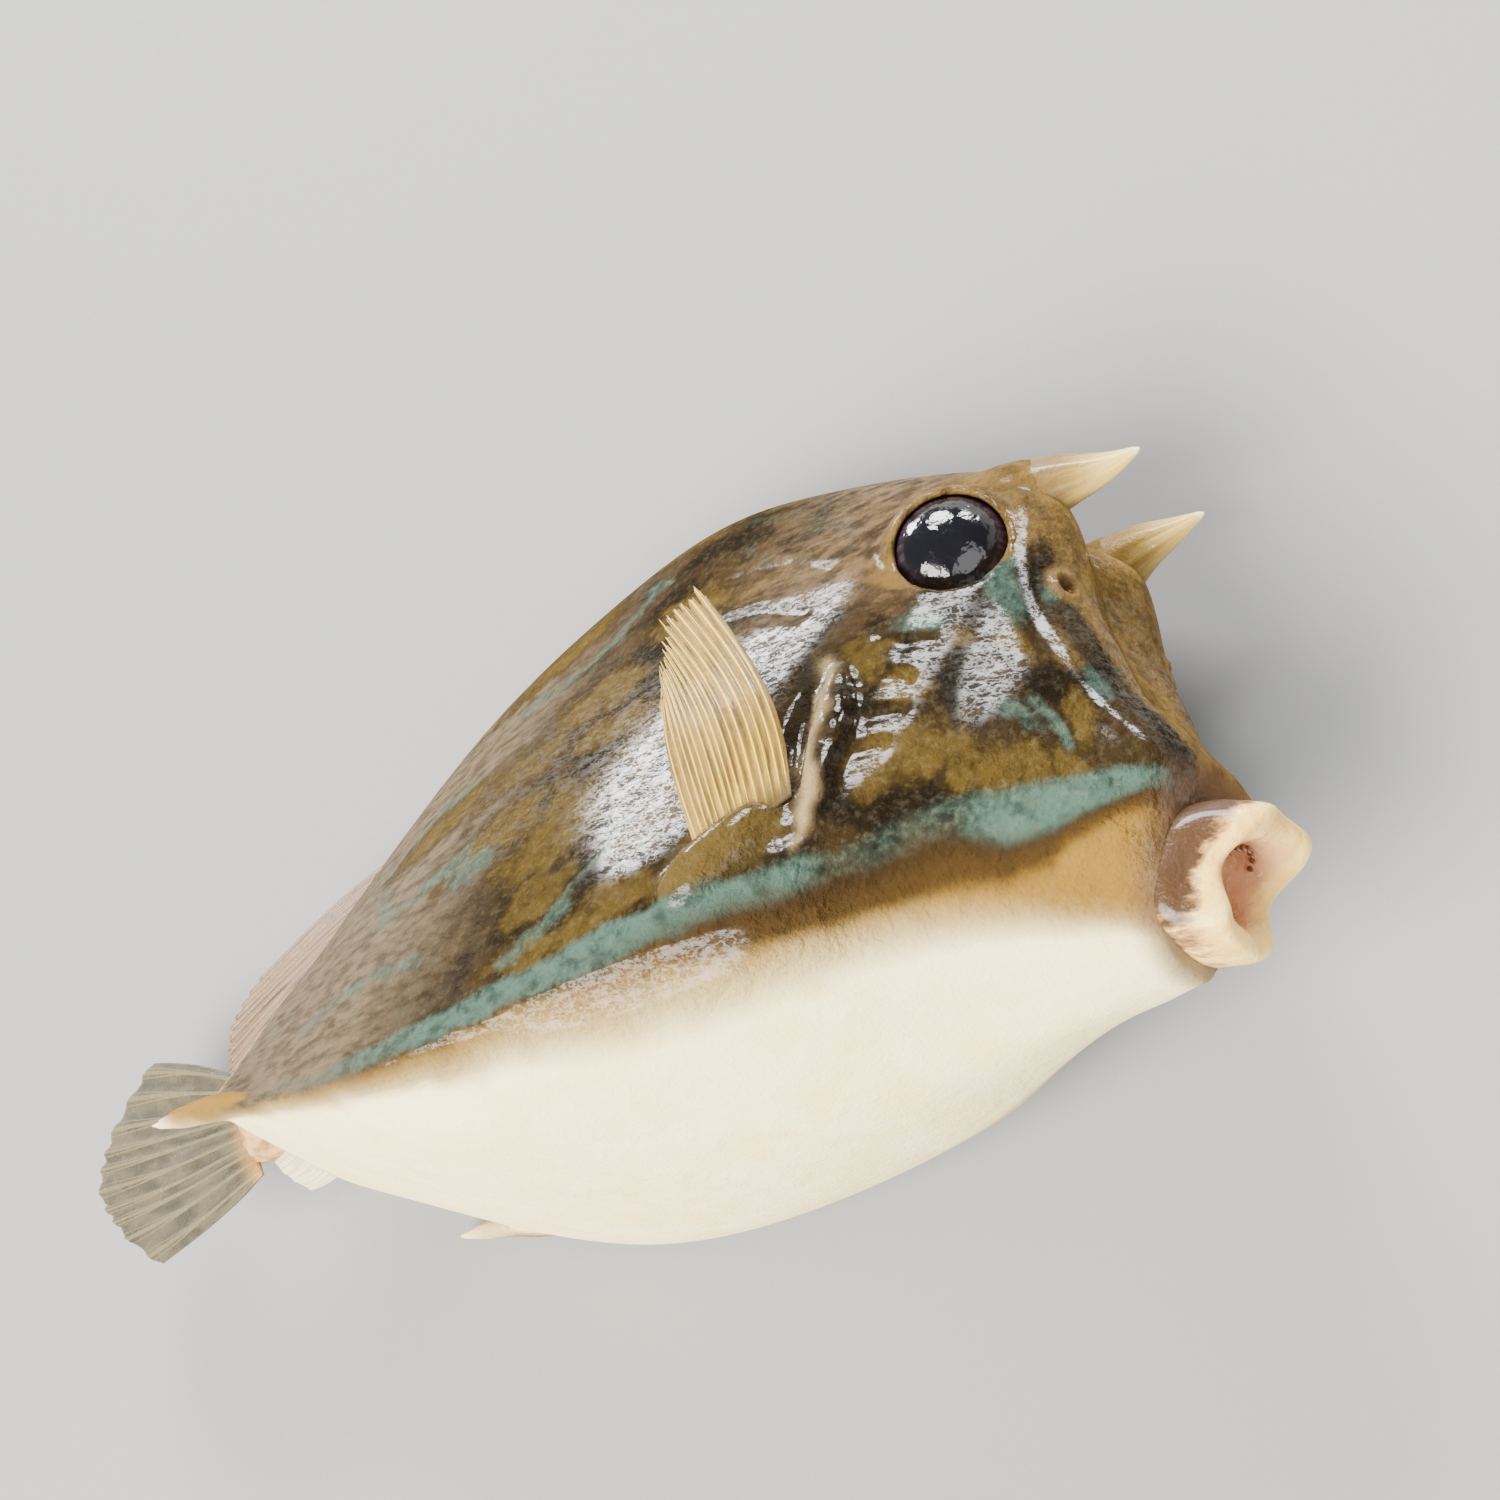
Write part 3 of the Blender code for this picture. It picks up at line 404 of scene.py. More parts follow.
# Where the skin is plain it is drawn back onto the body's own smooth surface.
NEAR_BODY = 0.16
count = body_rings.shape[1]
body_faces = [
    (i * count + j, i * count + (j + 1) % count, (i + 1) * count + (j + 1) % count, (i + 1) * count + j)
    for i in range(LENGTHWISE) for j in range(count)
]
flat_rings = body_rings.reshape(-1, 3)
nearest = BVHTree.FromPolygons(flat_rings.tolist(), body_faces)
near, outward, cell = np.empty_like(points), np.empty_like(points), np.empty(len(points), int)
for i, point in enumerate(points):
    near[i], outward[i], cell[i], _ = nearest.find_nearest(Vector(point))
row, place = cell // count, cell % count
a, b = flat_rings[row * count + place], flat_rings[row * count + (place + 1) % count]
d = flat_rings[(row + 1) * count + place]
part_way = ((near - a) * (b - a)).sum(1) / ((b - a) ** 2).sum(1).clip(1e-9)
skin_u = (row + (((near - a) * (d - a)).sum(1) / ((d - a) ** 2).sum(1).clip(1e-9)).clip(0, 1)) / LENGTHWISE
turned_place = place + part_way.clip(0, 1)
skin_v = np.where(turned_place <= ROUND, turned_place, count - turned_place) / ROUND
off_body = np.linalg.norm(points - near, axis=1)
BODY_MIDDLE = (-70, 0, 15)
outward = outward * np.sign((outward * (near - BODY_MIDDLE)).sum(1).mean())
inner = (skin_u > 0.004) & (skin_u < 0.992)
plain = inner & (off_body < NEAR_BODY)
for _ in range(2):
    plain = plain & (neighbours_mean(plain)[:, 0] > 0.999)
ease = neighbours_mean(neighbours_mean(plain.astype(float)))[:, 0]
points += (near - points) * np.where(plain, ease, 0)[:, None]


def bump_at(centre, radius):
    """1 at a point of the skin, fading to 0 at the radius."""
    return np.clip(1 - np.linalg.norm(points - centre, axis=1) / radius, 0, 1)


def fade(value, start, end):
    """0 before start, 1 after end, and smooth between."""
    t = np.clip((value - start) / (end - start), 0, 1)
    return t * t * (3 - 2 * t)


def line_gap(us, vs, line):
    """How far, in units of v, points on the skin are from a line of (u, v) places."""
    gap = np.full(len(us), 9.0)
    line = np.array(line, float)
    for (u0, v0), (u1, v1) in zip(line[:-1], line[1:]):
        du, dv = u1 - u0, v1 - v0
        t = np.clip(((us - u0) * du + (vs - v0) * dv) / (du * du + dv * dv), 0, 1)
        gap = np.minimum(gap, np.hypot(us - u0 - t * du, vs - v0 - t * dv))
    return gap


# Folds of the cheek, between the eye and the gill, below the gill, and of the back behind the eye.
FOLD_WIDTH, FOLD_DEPTH = 0.0085, 0.28
FOLDS = [
    ((0.340, 0.400), (0.372, 0.396), (0.410, 0.402)), ((0.336, 0.436), (0.370, 0.440), (0.408, 0.432)),
    ((0.345, 0.472), (0.374, 0.478), (0.400, 0.466)), ((0.402, 0.520), (0.420, 0.530), (0.440, 0.516)),
    ((0.400, 0.542), (0.424, 0.552), (0.446, 0.540)), ((0.328, 0.352), (0.355, 0.360), (0.385, 0.346)),
    ((0.470, 0.240), (0.520, 0.205), (0.570, 0.190)), ((0.480, 0.290), (0.530, 0.262), (0.590, 0.250)),
]
wrinkle = sum(np.exp(-(line_gap(skin_u, skin_v, fold) / FOLD_WIDTH) ** 2) for fold in FOLDS)
points += outward * (-FOLD_DEPTH * np.where(inner, wrinkle, 0).clip(0, 1))[:, None]

skin_mesh = skin.data
set_coordinates(skin_mesh, laid(points))
skin_mesh.shade_smooth()


def keep_value(mesh, name, values):
    mesh.attributes.new(name, "FLOAT", "POINT").data.foreach_set("value", np.asarray(values, np.float32))


def keep_vector(mesh, name, vectors):
    made = mesh.attributes.new(name, "FLOAT_VECTOR", "POINT")
    made.data.foreach_set("vector", np.asarray(vectors, np.float32).ravel())


def keep_place(mesh, fish_points):
    """Keeps each vertex's place on the upright fish, in millimetres, for the patterns."""
    keep_vector(mesh, "fish", fish_points)


keep_place(skin_mesh, points)

# The markings are soft masks, laid where they lie on this fish, and the same on both sides.
# Their tables give places in u (lips 0, rear rim 1) and v (back 0, keel 1).
TEAL_CENTRE = (
    (0, 0.23), (0.03, 0.27), (0.08, 0.39), (0.12, 0.466), (0.17, 0.512), (0.22, 0.530), (0.275, 0.555),
    (0.36, 0.588), (0.47, 0.597), (0.59, 0.604), (0.70, 0.611), (0.80, 0.611), (1, 0.611),
)
TEAL_HALF = (
    (0, 0.012), (0.03, 0.030), (0.08, 0.045), (0.12, 0.050), (0.17, 0.048), (0.22, 0.040), (0.275, 0.032),
    (0.36, 0.024), (0.47, 0.020), (0.59, 0.018), (0.70, 0.014), (0.80, 0.010), (0.93, 0.004), (1, 0.001),
)
TEAL_SHARE = (
    (0, 0.9), (0.12, 1), (0.17, 0.85), (0.23, 0.40), (0.36, 0.37), (0.42, 0.95), (0.56, 0.95), (0.66, 0.80),
    (0.78, 0.45), (1, 0.3),
)
TEAL_PATCHES = [  # middle (u, v) and half sizes of each patch
    (0.262, 0.235, 0.034, 0.030), (0.120, 0.215, 0.020, 0.022), (0.188, 0.372, 0.030, 0.020),
    (0.222, 0.175, 0.018, 0.018), (0.145, 0.345, 0.022, 0.018), (0.345, 0.318, 0.030, 0.016),
    (0.262, 0.045, 0.014, 0.020),
]
TEAL_LINES = [  # how strongly each scrawl shows, and the places that it runs through
    (0.50, ((0.56, 0.47), (0.590, 0.520), (0.600, 0.552), (0.625, 0.572))),
    (0.28, ((0.440, 0.30), (0.478, 0.245), (0.53, 0.20), (0.58, 0.15))),
    (0.28, ((0.46, 0.20), (0.52, 0.13), (0.58, 0.10))),
    (0.50, ((0.70, 0.45), (0.74, 0.40), (0.80, 0.42), (0.85, 0.36))),
    (0.50, ((0.72, 0.53), (0.78, 0.50), (0.84, 0.52))),
    (0.50, ((0.66, 0.13), (0.71, 0.20), (0.77, 0.18))),
    (0.50, ((0.80, 0.25), (0.86, 0.28), (0.92, 0.24))),
]
CREAM_FROM = (
    (0, 0.60), (0.025, 0.615), (0.113, 0.655), (0.21, 0.660), (0.33, 0.672), (0.49, 0.684), (0.56, 0.672),
    (0.645, 0.660), (0.745, 0.645), (0.85, 0.636), (1, 0.630),
)
FACE_EDGE = ((0.285, 0.01), (0.242, 0.03), (0.158, 0.095), (0.105, 0.152), (0.075, 0.175), (0.03, 0.165))
PATCH_SHARE, SCRAWL_HALF, FACE_EDGE_WIDTH = 0.60, 0.011, 0.045
BROW_AT, BROW_REACH = np.array((-27.0, 10.0, 44.5)), 12.5
HORN_BASE_AT, HORN_BASE_REACH = np.array((-20.5, 8.0, 48.6)), 7.5
GILL_WIDTH, HOLLOW_WIDTH, RING_REACH = 0.010, 0.013, 11
PAD_AT, PAD_HALF = (0.463, 0.530), (0.045, 0.040)
MUSTARD = [  # middle (u, v) and half sizes of each ochre blotch
    (0.325, 0.490, 0.044, 0.046), (0.292, 0.470, 0.040, 0.042), (0.248, 0.462, 0.036, 0.040),
    (0.205, 0.452, 0.036, 0.038), (0.166, 0.430, 0.036, 0.042), (0.120, 0.385, 0.036, 0.042),
    (0.335, 0.400, 0.036, 0.034), (0.385, 0.362, 0.030, 0.030), (0.225, 0.275, 0.046, 0.030),
    (0.165, 0.225, 0.040, 0.034), (0.290, 0.320, 0.030, 0.022), (0.120, 0.290, 0.026, 0.040),
    (0.657, 0.283, 0.060, 0.040), (0.705, 0.320, 0.050, 0.040), (0.618, 0.345, 0.044, 0.036),
    (0.700, 0.405, 0.056, 0.040), (0.640, 0.440, 0.044, 0.050), (0.585, 0.385, 0.036, 0.040),
    (0.600, 0.575, 0.050, 0.022), (0.548, 0.560, 0.044, 0.028), (0.622, 0.505, 0.036, 0.036),
    (0.545, 0.480, 0.036, 0.044), (0.475, 0.070, 0.060, 0.034), (0.560, 0.060, 0.050, 0.030),
    (0.650, 0.060, 0.050, 0.040), (0.520, 0.222, 0.044, 0.026), (0.605, 0.210, 0.046, 0.026),
    (0.790, 0.300, 0.060, 0.044), (0.760, 0.120, 0.060, 0.040), (0.420, 0.060, 0.046, 0.030),
    (0.350, 0.045, 0.040, 0.036), (0.180, 0.060, 0.040, 0.060),
]


def curve_at(pairs, us):
    pairs = np.array(pairs)
    return np.interp(us, pairs[:, 0], pairs[:, 1])


def drift(places, size, seed):
    """Random values between -1 and 1 that change smoothly over this many millimetres."""
    grid = np.random.default_rng(seed).uniform(-1, 1, (16, 16, 16))
    scaled = np.asarray(places) / size
    low = np.floor(scaled).astype(int)
    t = scaled - low
    t, total = t * t * (3 - 2 * t), 0
    for step in np.ndindex(2, 2, 2):
        weight = np.prod(np.where(step, t, 1 - t), axis=1)
        total = total + weight * grid[tuple(((low + step) % 16).T)]
    return total


def oval(middle_u, middle_v, long, tall):
    """A soft patch of the skin round a place in u and v."""
    return np.clip(1.5 - np.hypot((u - middle_u) / long, (v - middle_v) / tall), 0, 1)


def on_both(mask):
    """The stronger of a mask's values for the right side and the left one."""
    return np.maximum(*(mask(np.array([1, side, 1])) for side in (-1, 1)))


both_sides = points * (1, 0, 1) + (0, 1, 0) * np.abs(points[:, 1:2])
u = skin_u + 0.016 * drift(both_sides, 5.5, 1) + 0.008 * drift(both_sides, 2.1, 2)
v = skin_v + 0.016 * drift(both_sides, 5.0, 3) + 0.009 * drift(both_sides, 1.9, 4)
calm_v = skin_v + 0.008 * drift(both_sides, 7.0, 5) + 0.004 * drift(both_sides, 2.4, 6)

# Teal: the stripe from the lips to the tail, patches on the head and scrawls on the flank.
half = curve_at(TEAL_HALF, skin_u)
teal = np.clip(1.6 - 1.1 * np.abs(calm_v - curve_at(TEAL_CENTRE, skin_u)) / half, 0, 1)
teal *= curve_at(TEAL_SHARE, skin_u)
for patch in TEAL_PATCHES:
    teal = np.maximum(teal, PATCH_SHARE * oval(*patch))
for share, line in TEAL_LINES:
    teal = np.maximum(teal, share * np.clip(1.5 - line_gap(u, v, line) / SCRAWL_HALF, 0, 1))
mustard = np.zeros(len(points))
for patch in MUSTARD:
    mustard = np.maximum(mustard, oval(*patch))

# The cream belly begins in a gold edge, with a brown band between it and the teal stripe.
soft = 0.150 - 0.095 * fade(skin_u, 0.52, 0.74)
cream = np.clip((calm_v - curve_at(CREAM_FROM, skin_u) + 0.53 * soft) / soft, 0, 1) ** 2.6
band_from = curve_at(TEAL_CENTRE, skin_u) + half
gold = fade(calm_v, band_from - 0.014, band_from + 0.030)
band = np.exp(-((calm_v - band_from - 0.014) / 0.034) ** 2) * (0.80 + 0.20 * fade(skin_u, 0.08, 0.20))
band *= 1 - 0.70 * fade(skin_u, 0.42, 0.6)

# The brow, the front of the face and the roots of the horns are an even olive brown.
brow = on_both(lambda mirror: bump_at(BROW_AT * mirror, BROW_REACH))
snout = fade(-skin_u, -0.050, -0.004)
face = fade(0.17 - skin_v, 0, 0.05) * fade(0.36 - skin_u, 0, 0.08)
horn_base = on_both(lambda mirror: bump_at(HORN_BASE_AT * mirror, HORN_BASE_REACH))

# The rear spines are golden, and the wall round the tail stalk is tan, as the stalk is.
spine_line = along(SPINE_PATH, np.linspace(0, 1, 30))
to_spine = np.min([np.linalg.norm(both_sides - place, axis=1) for place in spine_line], axis=0)
spine = fade(off_body, 0.25, 1.0) * (1 - fade(to_spine, 2.6, 3.6)) * (points[:, 0] < -116)
rear_wall = fade(off_body, 0.15, 0.6) * (skin_u > 0.985) * fade(to_spine, 2.2, 3.2)
gold, cream = np.maximum(gold, spine), cream * (1 - 0.6 * spine * fade(points[:, 0], -146, -136))
tail = fade(off_body, 0.3, 1.2) * fade(-points[:, 0], 132.5, 136) * (np.abs(points[:, 1]) < 16)
tail = np.maximum(np.maximum(tail, rear_wall), fade(skin_u, 0.984, 0.997) * (off_body < 0.6))

# Lids, gill flap and its hollow, nostrils and their pits, and the pad under the pectoral fin.
gap_to_eye = -on_both(lambda mirror: -np.linalg.norm(points - EYE_CENTRE * mirror, axis=1))
facing = on_both(lambda mirror: unit(points - EYE_CENTRE * mirror) @ (EYE_AXIS * mirror))
ring = fade(facing, 0.30, 0.60) * (gap_to_eye < RING_REACH)
gill = np.exp(-(line_gap(u, v, GILL_LINE) / GILL_WIDTH) ** 2)
hollow = np.exp(-(line_gap(skin_u, skin_v, GILL_HOLLOW) / HOLLOW_WIDTH) ** 2)
nostril_place = on_body(*NOSTRIL_AT)[0]
to_nostril = -on_both(lambda mirror: -np.linalg.norm(points - nostril_place * mirror, axis=1))
nostril, pit = 1 - fade(to_nostril, 1.9, 3.4), 1 - fade(to_nostril, 0.8, 1.5)
pad = np.exp(-(np.hypot((skin_u - PAD_AT[0]) / PAD_HALF[0], (skin_v - PAD_AT[1]) / PAD_HALF[1]) ** 4))
root = np.maximum(pad, fade(off_body, 0.3, 0.9) * (np.abs(points[:, 0] + 50) < 9) * (points[:, 2] < 12))
inside = 1 - fade(np.linalg.norm(np.cross(points - MOUTH_CENTRE, mouth_ahead), axis=1), 4.0, 5.0)
inside *= fade(-(points - MOUTH_CENTRE) @ mouth_ahead, -12, 0) * (points[:, 0] > -17)

# Water: it stands on the flank, the gill and the lids, and the rear end and the belly have dried.
dry = fade(skin_u, 0.62, 0.80)
wet = fade(skin_v - 0.13 * fade(skin_u, 0.30, 0.42), 0.06, 0.20)
wet = wet * (1 - 0.8 * dry) * (1 - 0.97 * fade(cream, 0.1, 0.6))
cheek = fade(0.40 - skin_u, 0, 0.1)
wet *= 1 - 0.75 * teal * cheek * (skin_v > 0.40)
wet = np.maximum(wet * (1 - 0.75 * fade(skin_v, 0.42, 0.56) * cheek), 0.7 * gill)
wet = np.maximum(wet, 0.7 * ring)
behind_eye = fade(skin_u, 0.30, 0.36) * (1 - fade(skin_u, 0.48, 0.60)) * (1 - fade(skin_v, 0.24, 0.36))
wet = np.maximum(wet, 0.42 * behind_eye)
wet = np.maximum(wet, np.exp(-(line_gap(skin_u, skin_v, FACE_EDGE) / FACE_EDGE_WIDTH) ** 2))
for name, values in (
    ("teal", teal), ("mustard", mustard), ("cream", cream), ("gold", gold), ("band", band), ("tail", tail),
    ("ring", ring), ("gill", gill), ("hollow", hollow), ("nostril", nostril), ("pit", pit), ("root", root),
    ("inside", inside), ("brow", np.maximum(brow, 0.55 * face)), ("snout", snout), ("horn_base", horn_base),
    ("dry", dry), ("wet", wet), ("behind_eye", behind_eye),
    ("stalk_top", fade(points[:, 2] + 0.45 * (points[:, 0] + 150), 0, 12)),
):
    keep_value(skin_mesh, name, values)


class Nodes:
    """Builds a material's or a group's nodes, one short call for each."""

    def __init__(self, tree):
        self.tree = tree

    def feed(self, node, inputs):
        """Gives a node its inputs: a socket is linked, and a plain value is set."""
        for key, value in dict(inputs).items():
            if isinstance(value, bpy.types.NodeSocket):
                self.tree.links.new(value, node.inputs[key])
            else:
                node.inputs[key].default_value = value

    def add(self, kind, inputs=(), **settings):
        made = self.tree.nodes.new(kind)
        for key, value in settings.items():
            setattr(made, key, value)
        self.feed(made, inputs)
        return made

    def value(self, name):
        return self.add("ShaderNodeAttribute", attribute_name=name).outputs["Fac"]

    def place(self, name="fish"):
        return self.add("ShaderNodeAttribute", attribute_name=name).outputs["Vector"]

    def drawn_out(self, place, factors):
        """The place scaled by a factor on each axis, for a pattern that runs one way."""
        inputs = {0: place, 1: factors}
        return self.add("ShaderNodeVectorMath", inputs, operation="MULTIPLY").outputs["Vector"]

    def maths(self, operation, a, b=0.0, clamp=False):
        return self.add("ShaderNodeMath", {0: a, 1: b}, operation=operation, use_clamp=clamp).outputs[0]

    def plus(self, a, b, clamp=False):
        return self.maths("ADD", a, b, clamp)

    def minus(self, a, b):
        return self.maths("SUBTRACT", a, b)

    def times(self, a, b):
        return self.maths("MULTIPLY", a, b)

    def mix(self, share, a, b):
        """Colour a where the share is 0, and b where it is 1."""
        return self.add("ShaderNodeMix", {0: share, 6: a, 7: b}, data_type="RGBA").outputs[2]

    def range(self, value, low, high, to_low=0.0, to_high=1.0):
        inputs = {0: value, 1: low, 2: high, 3: to_low, 4: to_high}
        return self.add("ShaderNodeMapRange", inputs, interpolation_type="SMOOTHSTEP").outputs[0]

    def noise(self, place, scale, detail, roughness=0.5):
        inputs = {"Vector": place, "Scale": scale, "Detail": detail, "Roughness": roughness}
        return self.add("ShaderNodeTexNoise", inputs).outputs["Fac"]

    def cells(self, place, scale, feature="DISTANCE_TO_EDGE"):
        inputs = {"Vector": place, "Scale": scale}
        return self.add("ShaderNodeTexVoronoi", inputs, feature=feature).outputs["Distance"]

    def bump(self, height, strength, distance):
        inputs = {"Height": height, "Strength": strength, "Distance": distance}
        return self.add("ShaderNodeBump", inputs).outputs[0]


def finish_of(name):
    """A new material with its Principled shader, and the builder of its nodes."""
    made = bpy.data.materials.new(name)
    made.use_nodes = True
    return made, Nodes(made.node_tree), made.node_tree.nodes["Principled BSDF"]


def shader_group(name, inputs, outputs):
    """An empty shader node group with named value sockets; returns its tree, builder, in and out."""
    tree = bpy.data.node_groups.new(name, "ShaderNodeTree")
    for label, kind, default in inputs:
        socket = tree.interface.new_socket(label, in_out="INPUT", socket_type=kind)
        if default is not None:
            socket.default_value = default
    for label, kind in outputs:
        tree.interface.new_socket(label, in_out="OUTPUT", socket_type=kind)
    build = Nodes(tree)
    return tree, build, build.add("NodeGroupInput"), build.add("NodeGroupOutput")


# Wet flesh: fine grains and slow wrinkles as a height, and a film of water that is smooth in
# puddles and broken between them as a roughness. The skin, lips, horns and fins share it.
wet_flesh, build, given, result = shader_group(
    "wet_flesh",
    [("Place", "NodeSocketVector", None), ("Grain Size", "NodeSocketFloat", 0.6),
     ("Grain", "NodeSocketFloat", 0.5), ("Wrinkle", "NodeSocketFloat", 0.5),
     ("Dryness", "NodeSocketFloat", 0.3)],
    [("Height", "NodeSocketFloat"), ("Roughness", "NodeSocketFloat")],
)
place = given.outputs["Place"]
per_mm = build.maths("DIVIDE", 1.0, given.outputs["Grain Size"])
grains = build.range(build.cells(place, per_mm, "F1"), 0.05, 0.75, 1.0, 0.0)
slow = build.noise(place, 0.42, 2.0, 0.5)
creased = build.maths("ABSOLUTE", build.minus(build.noise(place, 0.8, 4.0, 0.6), 0.5))
creased = build.plus(build.times(creased, 3.0), build.times(slow, 3.0))
height = build.times(grains, given.outputs["Grain"])
height = build.plus(height, build.times(creased, given.outputs["Wrinkle"]))
film = build.range(build.noise(place, 0.16, 3.0, 0.55), 0.40, 0.62, 0.45, 1.0)
rough = build.plus(build.times(film, given.outputs["Dryness"]), 0.06)
build.feed(result, {"Height": height, "Roughness": rough})

TEAL, TEAL_DEEP = (0.052, 0.092, 0.070, 1), (0.026, 0.044, 0.034, 1)
MUSTARD_YELLOW, MUSTARD_DARK = (0.064, 0.041, 0.010, 1), (0.021, 0.0135, 0.0045, 1)
GROUND, GROUND_DARK = (0.028, 0.0175, 0.0075, 1), (0.008, 0.006, 0.0036, 1)
BACK_TAN, BACK_DARK = (0.125, 0.077, 0.036, 1), (0.038, 0.024, 0.012, 1)
DRY_TAN, DRY_DARK = (0.118, 0.088, 0.055, 1), (0.052, 0.037, 0.022, 1)
CREAM, CREAM_WARM, PLATE_EDGE = (0.97, 0.85, 0.48, 1), (0.95, 0.77, 0.37, 1), (0.62, 0.46, 0.24, 1)
GOLD, BAND = (0.205, 0.112, 0.019, 1), (0.032, 0.018, 0.007, 1)
BROW, BROW_DARK = (0.135, 0.080, 0.023, 1), (0.075, 0.046, 0.015, 1)
HORN_BASE_TAN, FIN_ROOT_OLIVE = (0.27, 0.17, 0.050, 1), (0.085, 0.056, 0.016, 1)
STALK_TAN, STALK_BROWN = (0.55, 0.34, 0.14, 1), (0.30, 0.165, 0.062, 1)
# The first colour below is painted shade, laid in the recess behind the gill flap.
# The second colour below is the gill flap's pale edge, made paler still by a painted highlight.
HOLLOW_SHADE, GILL_EDGE_AND_HIGHLIGHT = (0.022, 0.016, 0.010, 1), (0.36, 0.26, 0.13, 1)
# The second colour below is painted shade, at the bottom of the nostril pits.
NOSTRIL_RIM, NOSTRIL_PIT_SHADE = (0.17, 0.105, 0.035, 1), (0.040, 0.017, 0.005, 1)
SNOUT_BROWN, THROAT_PINK = (0.12, 0.070, 0.042, 1), (0.50, 0.24, 0.12, 1)

skin_finish, build, shader = finish_of("wet_skin")
fish, water = build.place(), build.value("wet")
flesh = build.add("ShaderNodeGroup", {
    "Place": fish, "Grain Size": 0.55, "Grain": 0.10, "Dryness": 0.14,
    "Wrinkle": build.plus(build.times(water, 1.1), 0.18),
}, node_tree=wet_flesh)
blotch = build.noise(fish, 0.14, 4.0, 0.6)
fine = build.noise(fish, 1.1, 4.0, 0.65)
shake = build.times(build.minus(fine, 0.5), 0.45)
drawn = build.drawn_out(fish, (0.55, 0.9, 1.25))
creases = build.noise(drawn, 0.55, 4.0, 0.55)
mottled = build.plus(build.times(build.noise(fish, 0.38, 2.0, 0.5), 0.75), build.times(fine, 0.25))

# Flank and back: a nearly black ground under ochre blotches, dried to tan towards the tail.
dried = build.mix(build.range(creases, 0.30, 0.66), DRY_DARK, DRY_TAN)
ground = build.mix(build.range(blotch, 0.40, 0.62), GROUND_DARK, GROUND)
ground = build.mix(build.times(build.value("dry"), 0.92), ground, dried)
patchy = build.times(build.minus(build.noise(fish, 0.30, 3.0, 0.6), 0.5), 1.3)
ochre = build.plus(build.value("mustard"), build.plus(shake, patchy))
mustard_tone = build.mix(build.range(ochre, 0.45, 1.20), MUSTARD_DARK, MUSTARD_YELLOW)
colour = build.mix(build.range(ochre, 0.25, 0.85), ground, mustard_tone)
back_tone = build.mix(build.range(creases, 0.36, 0.64), BACK_DARK, BACK_TAN)
back_share = build.times(build.range(blotch, 0.30, 0.60, 0.35, 0.95), build.value("behind_eye"))
colour = build.mix(back_share, colour, back_tone)
colour = build.mix(build.times(build.value("root"), 0.85), colour, FIN_ROOT_OLIVE)

# Teal, the brow, the gold edge, the belly and its brown band, each laid over the last.
teal_tone = build.mix(build.range(mottled, 0.34, 0.56), TEAL_DEEP, TEAL)
colour = build.mix(build.range(build.plus(build.value("teal"), shake), 0.15, 0.85), colour, teal_tone)
brow_tone = build.mix(build.range(mottled, 0.36, 0.60), BROW_DARK, BROW)
colour = build.mix(build.range(build.plus(build.value("brow"), shake), 0.1, 0.6), colour, brow_tone)
colour = build.mix(build.range(build.value("horn_base"), 0.15, 0.75), colour, HORN_BASE_TAN)
colour = build.mix(build.range(build.plus(build.value("gold"), shake), 0.1, 0.9), colour, GOLD)
belly = build.mix(build.range(blotch, 0.35, 0.65), CREAM_WARM, CREAM)
plates = build.range(build.cells(fish, 0.135), 0.0, 0.20)
belly = build.mix(build.times(build.minus(1.0, plates), 0.035), belly, PLATE_EDGE)
cream_share = build.plus(build.value("cream"), build.times(shake, 0.25), clamp=True)
colour = build.mix(cream_share, colour, belly)
band_share = build.range(build.plus(build.value("band"), shake), 0.05, 0.90, 0.0, 0.92)
colour = build.mix(band_share, colour, BAND)

# The tail stalk is tan and darker on top, and the small parts of the face come last.
stalk_tone = build.mix(build.range(creases, 0.35, 0.60), STALK_BROWN, STALK_TAN)
stalk_top = build.mix(build.range(mottled, 0.34, 0.66), DRY_DARK, DRY_TAN)
top_share = build.range(build.plus(build.value("stalk_top"), shake), 0.2, 0.9)
colour = build.mix(build.value("tail"), colour, build.mix(top_share, stalk_tone, stalk_top))
for mask, share, tone in (
    # The gill flap's edge is its own pale colour with a painted highlight on it.
    # The gill hollow is painted dark as shade in its recess.
    ("ring", 0.85, brow_tone), ("hollow", 0.9, HOLLOW_SHADE), ("gill", 0.75, GILL_EDGE_AND_HIGHLIGHT),
    # The nostril pits are painted dark as shade at their bottoms.
    ("nostril", 0.8, NOSTRIL_RIM), ("pit", 0.9, NOSTRIL_PIT_SHADE), ("snout", 0.8, SNOUT_BROWN),
    ("inside", 1.0, THROAT_PINK),
):
    colour = build.mix(build.times(build.value(mask), share), colour, tone)

